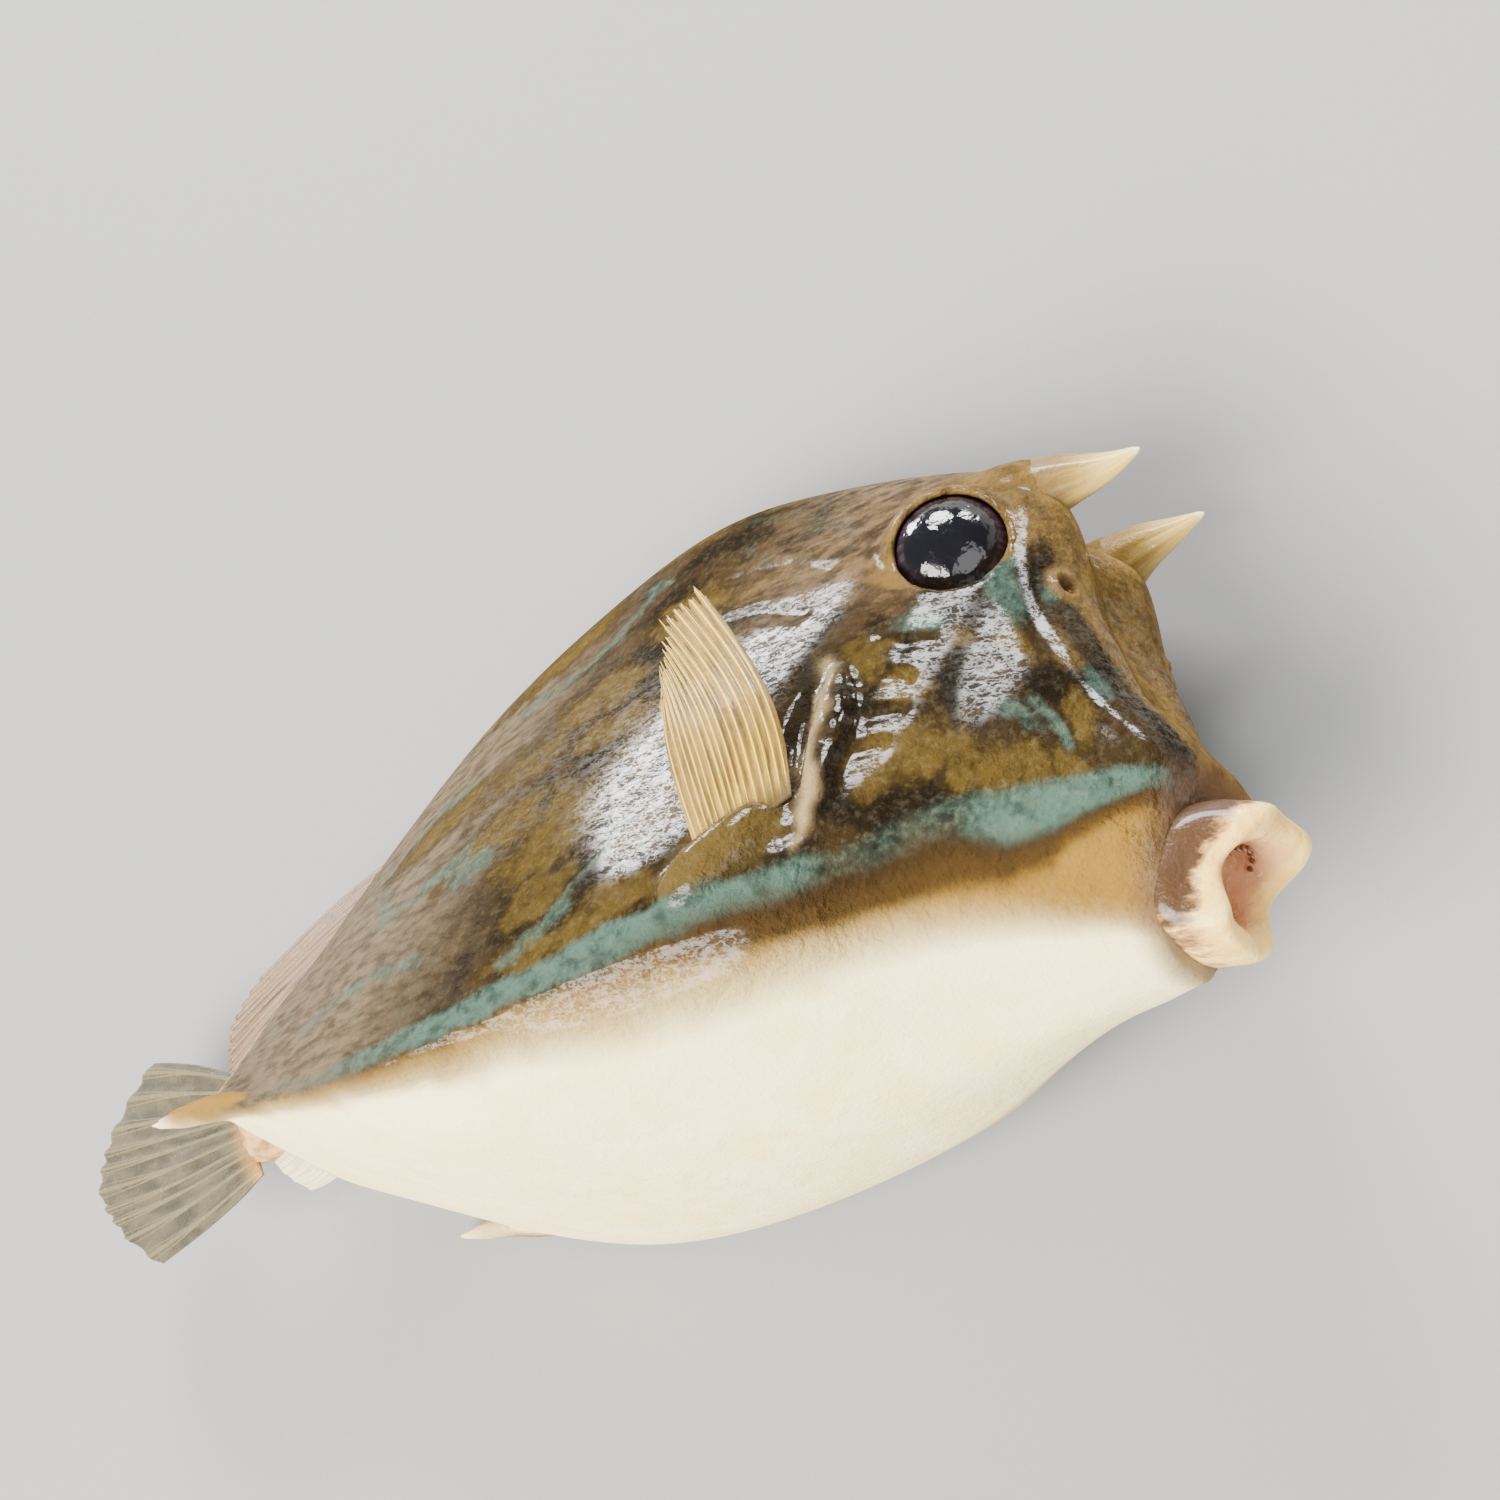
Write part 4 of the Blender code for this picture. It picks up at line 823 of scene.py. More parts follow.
# The coat is the water: it gathers in puddles, with thin bright threads along the creases.
waves = build.times(build.noise(fish, 0.17, 2.0, 0.5), build.times(water, 3.5))
relief = build.plus(build.plus(flesh.outputs["Height"], waves), build.times(plates, 0.10))
puddles = build.range(build.noise(drawn, 0.80, 5.0, 0.75), 0.50, 0.57)
gap = build.maths("ABSOLUTE", build.minus(build.noise(drawn, 1.25, 3.0, 0.62), 0.5))
threads = build.range(gap, 0.012, 0.045, 0.85, 0.04)
coat = build.times(build.times(water, 0.85), build.maths("MAXIMUM", puddles, threads))
build.feed(shader, {
    "Base Color": colour,
    "Roughness": build.plus(flesh.outputs["Roughness"], build.times(build.value("cream"), 0.25)),
    "Normal": build.bump(relief, 0.7, 0.0005),
    "Coat Weight": build.plus(coat, 0.03, clamp=True),
    "Coat Roughness": 0.10,
    "Coat IOR": 1.33,
    "Specular IOR Level": 0.0,
    "Subsurface Weight": 0.10,
    "Subsurface Radius": (1.0, 0.6, 0.35),
    "Subsurface Scale": 0.002,
})

skin_mesh.materials.clear()
skin_mesh.materials.append(skin_finish)
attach(skin, "root")
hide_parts("head", "torso", "peduncle")


# Eyes
# Each eyeball is a wet, nearly black dome that swells out of its ring of lids. A wide pupil fills
# most of it, with a dark violet iris that shows only towards the rim.

IRIS, IRIS_DARK, PUPIL = (0.040, 0.024, 0.036, 1), (0.008, 0.006, 0.010, 1), (0.004, 0.004, 0.006, 1)
EYE_BACK = (0.05, 0.028, 0.014, 1)

eye_finish, build, shader = finish_of("wet_eye")
fish, facing_front = build.place(), build.value("facing")
fibre = build.noise(build.place("spoke"), 3.2, 4.0, 0.6)
iris = build.mix(build.range(fibre, 0.35, 0.7), IRIS_DARK, IRIS)
iris = build.mix(build.range(facing_front, 0.60, 0.54), iris, EYE_BACK)
pupil_share = build.range(build.plus(facing_front, build.times(fibre, 0.03)), 0.74, 0.80)
build.feed(shader, {
    "Base Color": build.mix(pupil_share, iris, PUPIL),
    "Roughness": build.range(build.noise(fish, 0.5, 3.0, 0.6), 0.35, 0.75, 0.08, 0.20),
    "Normal": build.bump(build.noise(fish, 0.42, 3.0, 0.5), 0.55, 0.0006),
    "Coat Weight": 0.12,
    "Coat Roughness": 0.12,
    "Specular IOR Level": 0.5,
})

CORNEA_SWELL = 0.35
for word, side in (("right", -1), ("left", 1)):
    centre, axis = EYE_CENTRE * (1, side, 1), EYE_AXIS * (1, side, 1)
    eye = ball("eyeball_" + word, centre, EYE_RADIUS, 96)
    points = coordinates(eye.data)
    away = unit(points - centre)
    front = away @ axis
    points = points + away * (CORNEA_SWELL * fade(front, 0.45, 0.95))[:, None]
    spoke = away - np.outer(front, axis)
    keep_place(eye.data, points)
    keep_value(eye.data, "facing", front)
    keep_vector(eye.data, "spoke", unit(spoke + 1e-9) * (2.5 + 0.3 * front[:, None]))
    set_coordinates(eye.data, laid(points))
    eye.data.shade_smooth()
    eye.data.materials.append(eye_finish)
    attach(eye, "root")
    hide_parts("eye_" + word)


# Horns
# Two bony spines stand out ahead over the eyes. Thin skin runs up them from the brow, brown at
# the root, and wears through to translucent, finely grooved ivory bone towards the point.

IVORY, IVORY_DARK, HORN_TIP = (0.82, 0.61, 0.19, 1), (0.66, 0.45, 0.10, 1), (0.90, 0.78, 0.44, 1)
HORN_ROOT_BROWN = (0.22, 0.132, 0.037, 1)

horn_finish, build, shader = finish_of("horn_ivory")
fish, out = build.place(), build.value("out")
flesh = build.add("ShaderNodeGroup", {"Place": fish, "Grain Size": 0.45, "Grain": 0.25, "Wrinkle": 0.5,
                                      "Dryness": 0.35}, node_tree=wet_flesh)
streak = build.noise(build.place("groove"), 1.3, 4.0, 0.6)
ivory = build.mix(build.range(streak, 0.30, 0.75), IVORY_DARK, IVORY)
fine = build.noise(fish, 1.1, 4.0, 0.65)
brow_tone = build.mix(build.range(fine, 0.35, 0.65), BROW_DARK, BROW)
bared = build.plus(build.times(build.minus(streak, 0.5), 0.35), out)
bared = build.minus(bared, build.times(build.value("upper"), 0.06))
root_tone = build.mix(0.55, brow_tone, HORN_ROOT_BROWN)
colour = build.mix(build.range(bared, 0.36, 0.98), root_tone, ivory)
relief = build.plus(build.times(streak, 0.7), flesh.outputs["Height"])
build.feed(shader, {
    "Base Color": build.mix(build.range(out, 0.93, 1.0), colour, HORN_TIP),
    "Roughness": flesh.outputs["Roughness"],
    "Normal": build.bump(relief, 0.5, 0.0002),
    "Coat Weight": 0.25,
    "Coat Roughness": 0.08,
    "Specular IOR Level": 0.15,
    "Subsurface Weight": 0.35,
    "Subsurface Radius": (1.0, 0.7, 0.4),
    "Subsurface Scale": 0.0025,
})

HORN_AT, HORN_RADII = (0, 0.25, 0.5, 0.75, 0.96, 1), (4.0, 3.6, 2.6, 1.5, 0.5, 0.15)
HORN_STEPS, HORN_ROUND, HORN_FLATTEN = 61, 40, 1.15
for word, side in (("right", -1), ("left", 1)):
    share = np.linspace(0, 1, HORN_STEPS)
    centres = along(HORN_PATH * (1, side, 1), share)
    horn = rod("horn_bone_" + word, centres, np.interp(share, HORN_AT, HORN_RADII), HORN_ROUND, HORN_FLATTEN)
    points = coordinates(horn.data)
    nearest = np.linalg.norm(points[:, None] - centres[None], axis=2).argmin(axis=1)
    out, ring = share[nearest], points - centres[nearest]
    turn = np.arctan2(ring[:, 2], ring[:, 1] * side)
    groove = 0.025 * np.sin(7 * turn + 5 * out + side) + 0.012 * np.sin(17 * turn - 9 * out)
    points = points + ring * (groove * fade(out, 0.15, 0.4) * (1 - fade(out, 0.9, 1)))[:, None]
    keep_place(horn.data, points)
    keep_value(horn.data, "out", out)
    keep_value(horn.data, "upper", np.sin(turn))
    keep_vector(horn.data, "groove", np.stack([np.cos(turn) * 3, np.sin(turn) * 3, out * 1.6], axis=1))
    set_coordinates(horn.data, laid(points))
    horn.data.shade_smooth()
    horn.data.materials.append(horn_finish)
    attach(horn, "root")
    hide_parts("horn_" + word)


# Lips
# Thick, soft, cream lips ring a small mouth that never quite shuts. The upper lip and the lower
# one meet in a crease at each corner, and their inner sides run back pink into the throat.

LIP_ANGLES = np.array([-90, -60, -30, 0, 30, 60, 90])
LIP_GUIDES = np.array([  # side, up and ahead of rings that go from the back of the lip into the throat
    [(0, -7.2, -6.0), (4.6, -6.2, -6.8), (7.0, -3.4, -7.4), (7.6, 0.2, -7.6),
     (6.8, 3.6, -7.0), (4.0, 6.0, -6.2), (0, 6.8, -5.6)],
    [(0, -8.1, -3.0), (5.2, -7.1, -3.9), (7.6, -4.2, -4.3), (8.1, 0.2, -4.4),
     (7.4, 4.1, -3.6), (4.6, 6.9, -2.8), (0, 7.8, -2.2)],
    [(0, -7.8, 0.1), (4.3, -6.9, -0.6), (6.3, -4.2, -1.4), (6.7, 0.3, -1.9),
     (6.6, 4.2, -0.2), (4.6, 7.0, 0.6), (0, 7.8, 0.6)],
    [(0, -6.4, 2.1), (3.5, -5.8, 2.2), (4.9, -3.4, 1.5), (5.3, 0.5, 0.3),
     (5.2, 4.1, 2.7), (3.7, 6.5, 3.5), (0, 7.0, 2.9)],
    [(0, -4.5, 1.2), (1.9, -4.1, 1.0), (3.1, -2.6, 0.4), (3.7, 0.5, -0.6),
     (3.7, 2.9, 0.9), (2.3, 4.3, 1.9), (0, 4.7, 1.8)],
    [(0, -4.0, -1.4), (1.4, -3.6, -1.5), (2.4, -2.2, -1.8), (2.9, 0.3, -2.2),
     (2.8, 2.2, -1.6), (1.7, 3.6, -0.9), (0, 4.1, -0.8)],
    [(0, -3.0, -5.6), (1.0, -2.8, -5.6), (1.6, -1.6, -5.6), (2.0, 0.2, -5.6),
     (1.8, 1.8, -5.4), (1.2, 2.9, -5.2), (0, 3.3, -5.0)],
], float)
LIP_KNOTS = (0, 0.16, 0.34, 0.52, 0.66, 0.80, 1.0)
LIP_STEPS, LIP_ROUND, LIP_WAVE = 160, 56, 0.10
LIP_CREAM, LIP_WARM, LIP_INSIDE = (0.95, 0.71, 0.23, 1), (0.82, 0.49, 0.12, 1), (0.66, 0.33, 0.17, 1)
DUSK_EDGE, DUSK = (0.40, 0.21, 0.085, 1), (0.066, 0.033, 0.015, 1)

lip_finish, build, shader = finish_of("lip_flesh")
fish, back = build.place(), build.value("back")
flesh = build.add("ShaderNodeGroup", {"Place": fish, "Grain Size": 0.8, "Grain": 0.08, "Wrinkle": 0.9,
                                      "Dryness": 0.40}, node_tree=wet_flesh)
colour = build.mix(build.range(build.noise(fish, 0.35, 4.0, 0.6), 0.35, 0.7), LIP_WARM, LIP_CREAM)
colour = build.mix(build.range(build.value("inward"), 0.05, 0.95), colour, LIP_INSIDE)
streaky = build.minus(build.noise(build.drawn_out(fish, (0.4, 1.2, 1.2)), 0.7, 4.0, 0.65), 0.5)
dusk = build.times(build.plus(back, build.times(streaky, 1.6)), build.range(back, 0.0, 0.3))
colour = build.mix(build.range(dusk, 0.05, 0.45), colour, DUSK_EDGE)
build.feed(shader, {
    "Base Color": build.mix(build.range(dusk, 0.30, 0.75), colour, DUSK),
    "Roughness": flesh.outputs["Roughness"],
    "Normal": build.bump(flesh.outputs["Height"], 0.5, 0.0003),
    "Coat Weight": 0.28,
    "Coat Roughness": 0.10,
    "Specular IOR Level": 0.15,
    "Subsurface Weight": 0.15,
    "Subsurface Radius": (1.0, 0.45, 0.3),
    "Subsurface Scale": 0.002,
})

angles = np.linspace(-90, 90, LIP_STEPS // 2 + 1)
half = [spline(LIP_ANGLES, guide, angles, (guide[1, 0] / 28, 0, 0), (-guide[-2, 0] / 28, 0, 0))
        for guide in LIP_GUIDES]
whole = [np.concatenate([side, side[-2:0:-1] * (-1, 1, 1)]) for side in half]
over = np.linspace(0, 1, LIP_ROUND)
rings = spline(LIP_KNOTS, np.array(whole), over).transpose(1, 0, 2)
turns = np.radians(np.concatenate([angles, angles[-2:0:-1]]))
wave = LIP_WAVE * np.sin(7 * turns)[:, None] * np.exp(-((over - 0.5) / 0.2) ** 2)[None]
rings = rings + wave[:, :, None] * (0, 0, 1)
inwards = np.broadcast_to(fade(over, 0.54, 0.80)[None], (LIP_STEPS, LIP_ROUND))
to_side = np.abs(np.cos(turns)) ** 0.8 * np.where(turns < -0.7, 0.55, 1.0)
backs = (1 - fade(over, 0.26, 0.46))[None] * (0.15 + 1.1 * to_side)[:, None]
rings = (MOUTH_CENTRE + rings[:, :, :1] * (0, 1, 0) + rings[:, :, 1:2] * mouth_up
         + rings[:, :, 2:] * mouth_ahead)
lips_mesh = bpy.data.meshes.new("lips")
lips_mesh.from_pydata(np.concatenate(rings).tolist(), [], [
    (i * LIP_ROUND + j, i * LIP_ROUND + (j + 1) % LIP_ROUND,
     (i + 1) % LIP_STEPS * LIP_ROUND + (j + 1) % LIP_ROUND, (i + 1) % LIP_STEPS * LIP_ROUND + j)
    for i in range(LIP_STEPS) for j in range(LIP_ROUND)])
face_outwards(lips_mesh)
keep_place(lips_mesh, coordinates(lips_mesh))
keep_value(lips_mesh, "inward", np.concatenate(inwards))
keep_value(lips_mesh, "back", np.concatenate(backs))
set_coordinates(lips_mesh, laid(coordinates(lips_mesh)))
lips_mesh.shade_smooth()
lips_mesh.materials.append(lip_finish)
lips = linked("lips", lips_mesh)
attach(lips, "root")
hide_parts("lip_upper", "lip_lower")


# Teeth
# Each jaw has a short row of blunt brown teeth, of which only the tips stand out of the gum. One
# tooth is set at every place along the two rows.

TOOTH_BROWN, TOOTH_DARK = (0.30, 0.14, 0.06, 1), (0.10, 0.035, 0.015, 1)
TOOTH_WIDTH, TOOTH_LENGTH, TOOTH_TIP = 0.00032, 0.0008, 0.00012
TOOTH_ROWS = ((40, 140, 7), (-130, -50, 4))     # first and last angle round the mouth, and how many
GUM_SHARE, TOOTH_LEAN = 0.93, 0.8

tooth_finish, build, shader = finish_of("tooth_brown")
stain = build.noise(build.add("ShaderNodeTexCoord").outputs["Object"], 900.0, 2.0)
build.feed(shader, {"Base Color": build.mix(stain, TOOTH_DARK, TOOTH_BROWN), "Roughness": 0.25,
                    "Coat Weight": 0.5})


def grow(obj, tree, values):
    """Runs a Geometry Nodes tree on an object, and keeps the plain mesh that it gives."""
    change = obj.modifiers.new(tree.name, "NODES")
    change.node_group = tree
    for item in tree.interface.items_tree:
        if item.item_type == "SOCKET" and item.in_out == "INPUT" and item.name in values:
            change[item.identifier] = values[item.name]
    bake_modifiers(obj)


def geometry_tree(name, inputs):
    """An empty Geometry Nodes tree with named inputs; returns its tree, builder, in and out."""
    tree = bpy.data.node_groups.new(name, "GeometryNodeTree")
    tree.interface.new_socket("Geometry", in_out="INPUT", socket_type="NodeSocketGeometry")
    for label, kind, default in inputs:
        socket = tree.interface.new_socket(label, in_out="INPUT", socket_type=kind)
        if default is not None:
            socket.default_value = default
    tree.interface.new_socket("Geometry", in_out="OUTPUT", socket_type="NodeSocketGeometry")
    build = Nodes(tree)
    return tree, build, build.add("NodeGroupInput"), build.add("NodeGroupOutput")


tooth_tree, build, given, result = geometry_tree(
    "teeth", [("Width", "NodeSocketFloat", TOOTH_WIDTH), ("Length", "NodeSocketFloat", TOOTH_LENGTH),
              ("Finish", "NodeSocketMaterial", None)])
peg = build.add("GeometryNodeMeshCone", {
    "Vertices": 10, "Radius Top": TOOTH_TIP, "Radius Bottom": given.outputs["Width"],
    "Depth": given.outputs["Length"]})
lean = build.add("GeometryNodeInputNamedAttribute", {"Name": "lean"}, data_type="FLOAT_VECTOR")
aim = build.add("FunctionNodeAlignRotationToVector", {"Vector": lean.outputs["Attribute"]}, axis="Z")
placed = build.add("GeometryNodeInstanceOnPoints", {
    "Points": given.outputs["Geometry"], "Instance": peg.outputs["Mesh"], "Rotation": aim.outputs[0]})
real = build.add("GeometryNodeRealizeInstances", {"Geometry": placed.outputs["Instances"]})
smooth = build.add("GeometryNodeSetShadeSmooth", {"Geometry": real.outputs["Geometry"]})
painted = build.add("GeometryNodeSetMaterial", {"Geometry": smooth.outputs["Geometry"],
                                                "Material": given.outputs["Finish"]})
build.feed(result, {"Geometry": painted.outputs["Geometry"]})

seats, leans = [], []
for first, last, number in TOOTH_ROWS:
    for turn in np.radians(np.linspace(first, last, number)):
        out = np.array([0, math.cos(turn), 0]) + mouth_up * math.sin(turn)
        gum = spline(LIP_ANGLES, LIP_GUIDES[5], [math.degrees(math.asin(math.sin(turn)))])[0]
        side = math.copysign(1, math.cos(turn))
        seats.append(MOUTH_CENTRE + (0, side * gum[0] * GUM_SHARE, 0) + mouth_up * gum[1] * GUM_SHARE
                     + mouth_ahead * gum[2])
        leans.append(-out * TOOTH_LEAN + mouth_ahead)
tooth_mesh = bpy.data.meshes.new("teeth")
tooth_mesh.from_pydata(laid(seats).tolist(), [], [])
keep_vector(tooth_mesh, "lean", np.array(leans) @ TURN.T)
teeth = linked("teeth", tooth_mesh)
grow(teeth, tooth_tree, {"Width": TOOTH_WIDTH, "Length": TOOTH_LENGTH, "Finish": tooth_finish})
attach(teeth, "root")


# Pectoral fins
# A fan of jointed rays, each forked towards its end, joined by a thin wet web. The right fin stands
# half shut off the flank; the left one is folded up flat against the floor side.

RAY_SIDES = 8
ray_tree, build, given, result = geometry_tree(
    "fin_rays", [("Ray Scale", "NodeSocketFloat", 1.0), ("Sides", "NodeSocketInt", RAY_SIDES),
                 ("Finish", "NodeSocketMaterial", None)])
thick = build.add("GeometryNodeInputNamedAttribute", {"Name": "thick"}, data_type="FLOAT")
radius = build.times(thick.outputs["Attribute"], given.outputs["Ray Scale"])
lines = build.add("GeometryNodeMeshToCurve", {"Mesh": given.outputs["Geometry"]})
sized = build.add("GeometryNodeSetCurveRadius", {"Curve": lines.outputs["Curve"], "Radius": radius})
ring = build.add("GeometryNodeCurvePrimitiveCircle", {"Resolution": given.outputs["Sides"], "Radius": 1.0})
tube = build.add("GeometryNodeCurveToMesh", {
    "Curve": sized.outputs["Curve"], "Profile Curve": ring.outputs["Curve"], "Scale": radius,
    "Fill Caps": True})
smooth = build.add("GeometryNodeSetShadeSmooth", {"Geometry": tube.outputs["Mesh"]})
real = build.add("GeometryNodeRealizeInstances", {"Geometry": smooth.outputs["Geometry"]})
painted = build.add("GeometryNodeSetMaterial", {"Geometry": real.outputs["Geometry"],
                                                "Material": given.outputs["Finish"]})
build.feed(result, {"Geometry": painted.outputs["Geometry"]})


def fin_finish(name, web, web_dark, bone, bone_dark, base, web_alpha):
    """A translucent web with dark streaks beside its rays, and paler, jointed rays."""
    made, build, shader = finish_of(name)
    fish, out, ray = build.place(), build.value("out"), build.value("ray")
    flesh = build.add("ShaderNodeGroup", {"Place": fish, "Grain Size": 0.35, "Grain": 0.25, "Wrinkle": 0.5,
                                          "Dryness": 0.35}, node_tree=wet_flesh)
    streak = build.noise(build.place("web"), 1.0, 4.0, 0.6)
    thin = build.mix(build.range(streak, 0.35, 0.65), web_dark, web)
    joint = build.range(build.maths("SINE", build.times(build.value("run"), 9.0)), 0.6, 1.0)
    joint = build.times(joint, build.range(out, 0.25, 0.6))
    hard = build.mix(build.times(joint, 0.35), bone, bone_dark)
    hard_share = build.range(build.plus(ray, build.times(streak, 0.2)), 0.35, 0.95)
    solid = build.maths("MAXIMUM", build.range(ray, 0.3, 0.8), build.range(out, 0.35, 0.0))
    alpha = build.maths("MAXIMUM", build.range(solid, 0.0, 1.0, web_alpha, 1.0),
                        build.range(streak, 0.3, 0.9, 0.0, web_alpha + 0.1))
    relief = build.plus(flesh.outputs["Height"], build.times(joint, -0.6))
    build.feed(shader, {
        "Base Color": build.mix(build.range(out, 0.16, 0.0), build.mix(hard_share, thin, hard), base),
        "Roughness": flesh.outputs["Roughness"],
        "Normal": build.bump(relief, 0.5, 0.0002),
        "Alpha": alpha,
        "Coat Weight": 0.3,
        "Coat Roughness": 0.07,
        "Specular IOR Level": 0.2,
        "Subsurface Weight": 0.2,
        "Subsurface Radius": (1.0, 0.7, 0.4),
        "Subsurface Scale": 0.001,
    })
    return made


def make_fin(name, lines, rays, finish, node, pleat=0.25, web_half=0.14, ray_radius=0.30,
             fray=0.8, split=0.55, seed=3, steps=48, per_ray=8):
    """A web over three lines (root, middle and ray tips), pleated at its rays, and the rays on it.

    Sizes are in millimetres; split is the share of a ray's length at which it forks.
    """
    draw = np.random.default_rng(seed)
    lines = [np.asarray(line, float) for line in lines]
    columns = rays * per_ray + 1
    across = np.linspace(0, 1, columns)
    out = np.linspace(0, 1, steps)
    edge_lines = np.stack([along(line, across) for line in lines])
    sheet = np.stack([spline((0, 0.5, 1), edge_lines[:, j], out) for j in range(columns)], axis=1)
    normals = unit(np.cross(np.gradient(sheet, axis=0), np.gradient(sheet, axis=1)))
    widths = draw.uniform(0.65, 1.35, rays)
    ray_ends = np.concatenate([[0], np.cumsum(widths)]) / widths.sum()
    place = np.interp(across, ray_ends, np.arange(rays + 1)) - 0.5
    crest = np.cos(2 * math.pi * place)
    ease_in = fade(out, 0.02, 0.25)[:, None]
    lengths = fray * draw.uniform(-0.6, 0.6, rays)
    tip_shift = np.interp(place, range(rays), lengths) - 0.35 * fray * (1 - crest)
    tip_shift += fray * 0.18 * draw.normal(size=columns)
    ends = unit(sheet[-1] - sheet[-4])
    sheet = sheet + ends[None] * (tip_shift[None, :] * fade(out, 0.75, 1)[:, None])[:, :, None]
    sway = sum(np.sin(out[:, None] * a + across[None] * b + c) for a, b, c in draw.uniform(2, 7, (3, 3)))
    lift = pleat * crest[None] * ease_in + 0.10 * sway * out[:, None]
    surface = sheet + normals * lift[:, :, None]
    half = web_half * (1.6 - 0.9 * out[:, None]) * np.ones(columns)[None]
    upper, lower = surface + normals * half[:, :, None], surface - normals * half[:, :, None]
    number = steps * columns
    faces = []
    for i in range(steps - 1):
        for j in range(columns - 1):
            a = i * columns + j
            faces += [(a, a + 1, a + columns + 1, a + columns),
                      (a + number, a + columns + number, a + columns + 1 + number, a + 1 + number)]
    rim = [(0, j) for j in range(columns)] + [(i, columns - 1) for i in range(1, steps)]
    rim += [(steps - 1, j) for j in range(columns - 2, -1, -1)] + [(i, 0) for i in range(steps - 2, 0, -1)]
    for (i, j), (k, l) in zip(rim, rim[1:] + rim[:1]):
        a, b = i * columns + j, k * columns + l
        faces.append((b, a, a + number, b + number))
    fish_points = np.concatenate([upper.reshape(-1, 3), lower.reshape(-1, 3)])
    mesh = bpy.data.meshes.new(name)
    mesh.from_pydata(laid(fish_points).tolist(), [], faces)
    face_outwards(mesh)
    run = np.cumsum(np.linalg.norm(np.diff(sheet, axis=0, prepend=sheet[:1]), axis=2), axis=0)
    web = np.stack([np.broadcast_to(place[None] * 1.3, (steps, columns)), run * 0.12,
                    np.zeros((steps, columns))], axis=2)
    on_ray = np.broadcast_to(fade(crest, 0.72, 1.0)[None], (steps, columns))
    out_of = np.broadcast_to(out[:, None], (steps, columns))
    keep_place(mesh, fish_points)
    for label, grid in (("out", out_of), ("ray", on_ray), ("run", run)):
        keep_value(mesh, label, np.concatenate([grid.ravel(), grid.ravel()]))
    keep_vector(mesh, "web", np.concatenate([web.reshape(-1, 3)] * 2))
    mesh.shade_smooth()
    mesh.materials.append(finish)
    fin = linked(name, mesh)

    dots, joins, thicks, outs, runs = [], [], [], [], []
    index = np.arange(steps)
    for k in range(rays):
        for branch in (-1, 1):
            spread_out = branch * (0.012 + 0.228 * fade(out, split, 1.0)) * per_ray
            middle = (ray_ends[k] + ray_ends[k + 1]) / 2 * (columns - 1)
            column = np.clip(middle + spread_out * widths[k], 0, columns - 1)
            low = np.floor(column).astype(int).clip(0, columns - 2)
            share = (column - low)[:, None]
            line = surface[index, low] * (1 - share) + surface[index, low + 1] * share
            start = len(dots)
            dots += list(line)
            joins += [(start + i, start + i + 1) for i in range(steps - 1)]
            thicks += list(ray_radius * (1.15 - 0.75 * out) * np.where(out < 0.03, 0.8, 1))
            outs += list(out)
            runs += list(run[index, low])
    mesh = bpy.data.meshes.new(name + "_rays")
    mesh.from_pydata(laid(dots).tolist(), joins, [])
    keep_place(mesh, dots)
    for label, values in (("thick", np.array(thicks) / MM_PER_M), ("out", outs), ("ray", np.ones(len(dots))),
                          ("run", runs)):
        keep_value(mesh, label, values)
    keep_vector(mesh, "web", np.array(dots) * 0.8)
    ray_piece = linked(name + "_rays", mesh)
    grow(ray_piece, ray_tree, {"Ray Scale": 1.0, "Sides": RAY_SIDES, "Finish": finish})
    for piece in (fin, ray_piece):
        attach(piece, "root")
        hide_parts(node)


pectoral_finish = fin_finish(
    "pectoral_web", web=(0.42, 0.262, 0.046, 1), web_dark=(0.150, 0.090, 0.018, 1),
    bone=(0.66, 0.445, 0.100, 1), bone_dark=(0.33, 0.20, 0.042, 1), base=FIN_ROOT_OLIVE, web_alpha=0.80)
RAISED = (
    [(-42.6, -25.4, 6.4), (-46.5, -27.2, 2.8), (-51.4, -28.2, -0.8)],
    [(-43.5, -29.8, 17.0), (-49.6, -30.8, 15.9), (-55.5, -31.2, 11.6)],
    [(-54.8, -30.6, 33.5), (-57.8, -31.2, 30.2), (-57.0, -31.8, 20.1)],
)
make_fin("pectoral_right", RAISED, 15, pectoral_finish, "pectoral_fin_right", pleat=0.20,
         ray_radius=0.17, fray=2.2, split=0.45, seed=8)
FOLDED = (
    ((0.470, 0.520, 0.3), (0.487, 0.540, 0.6), (0.505, 0.555, 0.3)),
    ((0.460, 0.440, 0.95), (0.480, 0.450, 0.95), (0.500, 0.462, 0.95)),
    ((0.456, 0.368, 0.90), (0.470, 0.358, 0.90), (0.488, 0.372, 0.90)),
)
folded = [[on_body(u, v, 1, lift)[0] for u, v, lift in row] for row in FOLDED]
make_fin("pectoral_left", folded, 11, pectoral_finish, "pectoral_fin_left", pleat=0.12,
         ray_radius=0.22, fray=0.4)


# Tail fin
# A rounded fan of ten forked rays on the end of the stalk, with an olive-tan web that light comes
# through, dark streaks between the rays near their root and a worn, scalloped edge.

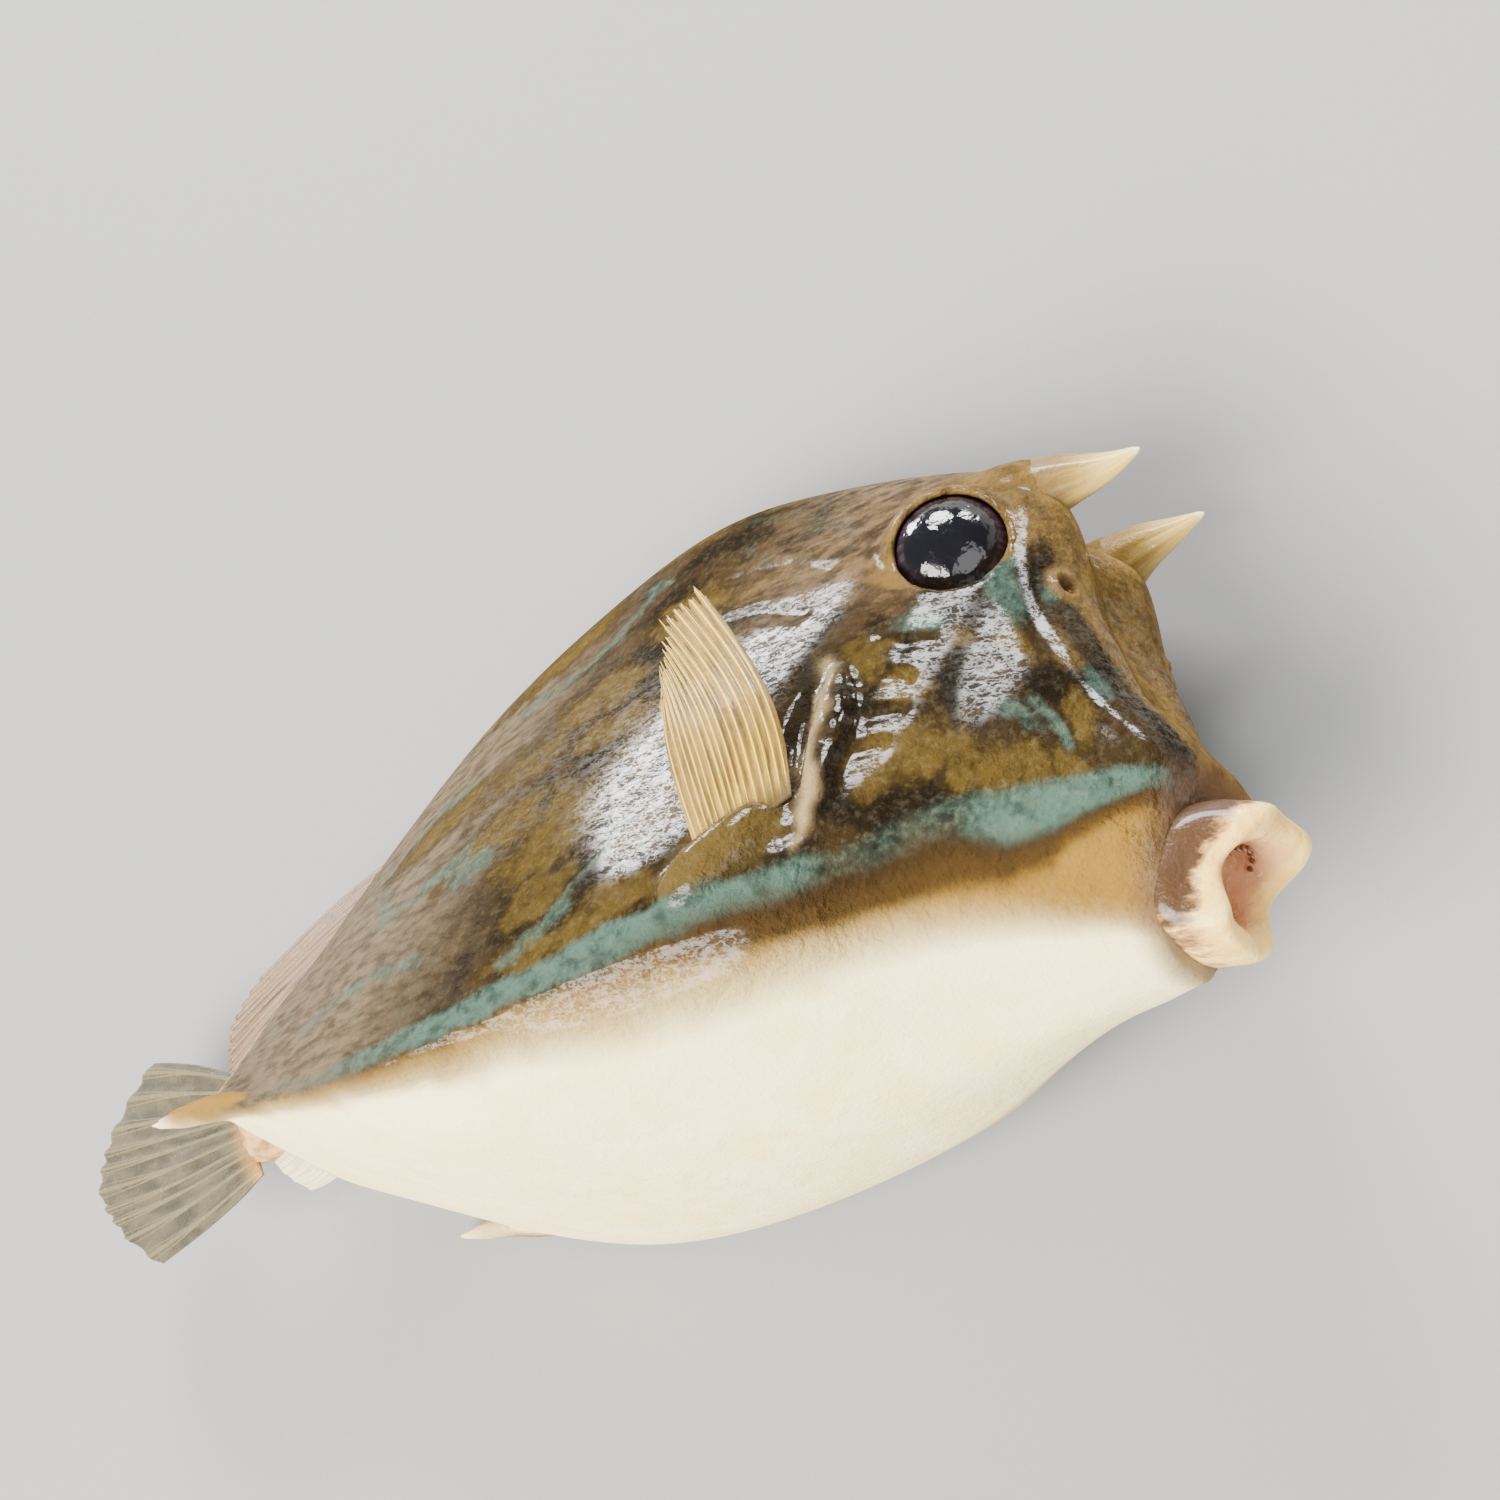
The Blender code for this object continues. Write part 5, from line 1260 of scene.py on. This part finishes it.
tail_finish = fin_finish(
    "tail_web", web=(0.118, 0.100, 0.057, 1), web_dark=(0.056, 0.049, 0.030, 1),
    bone=(0.155, 0.130, 0.070, 1), bone_dark=(0.11, 0.094, 0.053, 1), base=(0.36, 0.19, 0.060, 1),
    web_alpha=0.80)
TAIL = (
    [(-165.0, 0.2, 2.6), (-162.4, 0.3, -4.8), (-157.0, 0.2, -12.6)],
    [(-181.0, 1.0, 7.6), (-183.0, 1.8, -5.4), (-168.8, 2.0, -17.6)],
    [(-196.0, 2.2, 10.6), (-205.6, 3.6, -5.2), (-184.6, 5.0, -21.7)],
)
make_fin("tail", TAIL, 10, tail_finish, "caudal_fin", pleat=0.22, fray=0.7, split=0.35, seed=11,
         per_ray=12)


# Dorsal and anal fins
# Both sit far back. The dorsal fin is folded down along the tail stalk, tan with dark lines; the
# anal fin is a small cream lobe under the stalk.

dorsal_finish = fin_finish(
    "dorsal_web", web=(0.20, 0.125, 0.066, 1), web_dark=(0.065, 0.042, 0.025, 1),
    bone=(0.26, 0.165, 0.090, 1), bone_dark=(0.11, 0.066, 0.034, 1), base=(0.09, 0.060, 0.034, 1),
    web_alpha=0.90)
DORSAL = (
    [(-128.0, 0, 37.0), (-134.0, 0, 31.5), (-140.5, 0, 25.5)],
    [(-147.0, -1.2, 29.6), (-149.0, -1.2, 25.4), (-150.0, -0.8, 18.5)],
    [(-163.6, -2.2, 19.0), (-168.4, -2.4, 10.6), (-167.0, -2.2, 2.8)],
)
make_fin("dorsal", DORSAL, 9, dorsal_finish, "dorsal_fin", pleat=0.2, fray=0.5, seed=5)

anal_finish = fin_finish(
    "anal_web", web=(0.80, 0.70, 0.48, 1), web_dark=(0.62, 0.50, 0.30, 1), bone=(0.86, 0.78, 0.58, 1),
    bone_dark=(0.66, 0.52, 0.32, 1), base=(0.80, 0.68, 0.48, 1), web_alpha=0.92)
ANAL = (
    [(-137.5, 0, -13.6), (-144.0, 0, -11.5), (-151.0, 0, -8.0)],
    [(-141.0, 0.2, -15.4), (-147.0, 0.2, -13.4), (-152.6, 0.2, -9.8)],
    [(-145.0, 0.3, -16.2), (-150.6, 0.3, -13.8), (-155.0, 0.3, -11.0)],
)
make_fin("anal", ANAL, 8, anal_finish, "anal_fin", pleat=0.12, ray_radius=0.22, fray=0.3,
         seed=6, steps=24)


# Floor and light
# A plain pale floor, one broad warm key light over the belly, and four smaller lamps low round the
# back and the head, whose mirror images make the wet glints.

FLOOR_REACH, FLOOR_GREY = 4, (0.24, 0.24, 0.235, 1)
floor_mesh = bpy.data.meshes.new("floor")
corners = [(x * FLOOR_REACH, y * FLOOR_REACH, 0) for x, y in ((-1, -1), (1, -1), (1, 1), (-1, 1))]
floor_mesh.from_pydata(corners, [], [(0, 1, 2, 3)])
floor = linked("floor", floor_mesh)
floor_finish, build, shader = finish_of("floor_pale")
build.feed(shader, {"Base Color": FLOOR_GREY, "Roughness": 0.85})
floor_mesh.materials.append(floor_finish)


def soft_light(name, place, aim, size, watts, colour=(1, 1, 1)):
    """A round area lamp at a place, turned to what it is aimed at; sizes are in metres."""
    lamp = bpy.data.lights.new(name, "AREA")
    lamp.shape, lamp.size, lamp.energy, lamp.color = "DISK", size, watts, colour
    obj = linked(name, lamp)
    obj.location = place
    obj.rotation_mode = "QUATERNION"
    obj.rotation_quaternion = (Vector(aim) - Vector(place)).to_track_quat("-Z", "Y")


soft_light("key", (-0.30, -0.55, 0.95), (0, 0, 0.03), 0.90, 68, (1, 0.975, 0.90))
soft_light("strip", (-0.50, 0.72, 0.10), (0, 0, 0.04), 0.22, 6)
soft_light("side", (0.04, 0.80, 0.42), (0.05, 0, 0.03), 0.42, 24)
soft_light("low", (0.42, 0.80, 0.10), (0.06, 0, 0.04), 0.18, 4.5)
soft_light("fill_head", (0.75, -0.35, 0.50), (0.05, 0, 0.03), 1.0, 9)
world = bpy.data.worlds.new("studio")
world.use_nodes = True
background = world.node_tree.nodes["Background"]
Nodes(world.node_tree).feed(background, {"Color": (1, 0.99, 0.97, 1), "Strength": 0.20})
bpy.context.scene.world = world
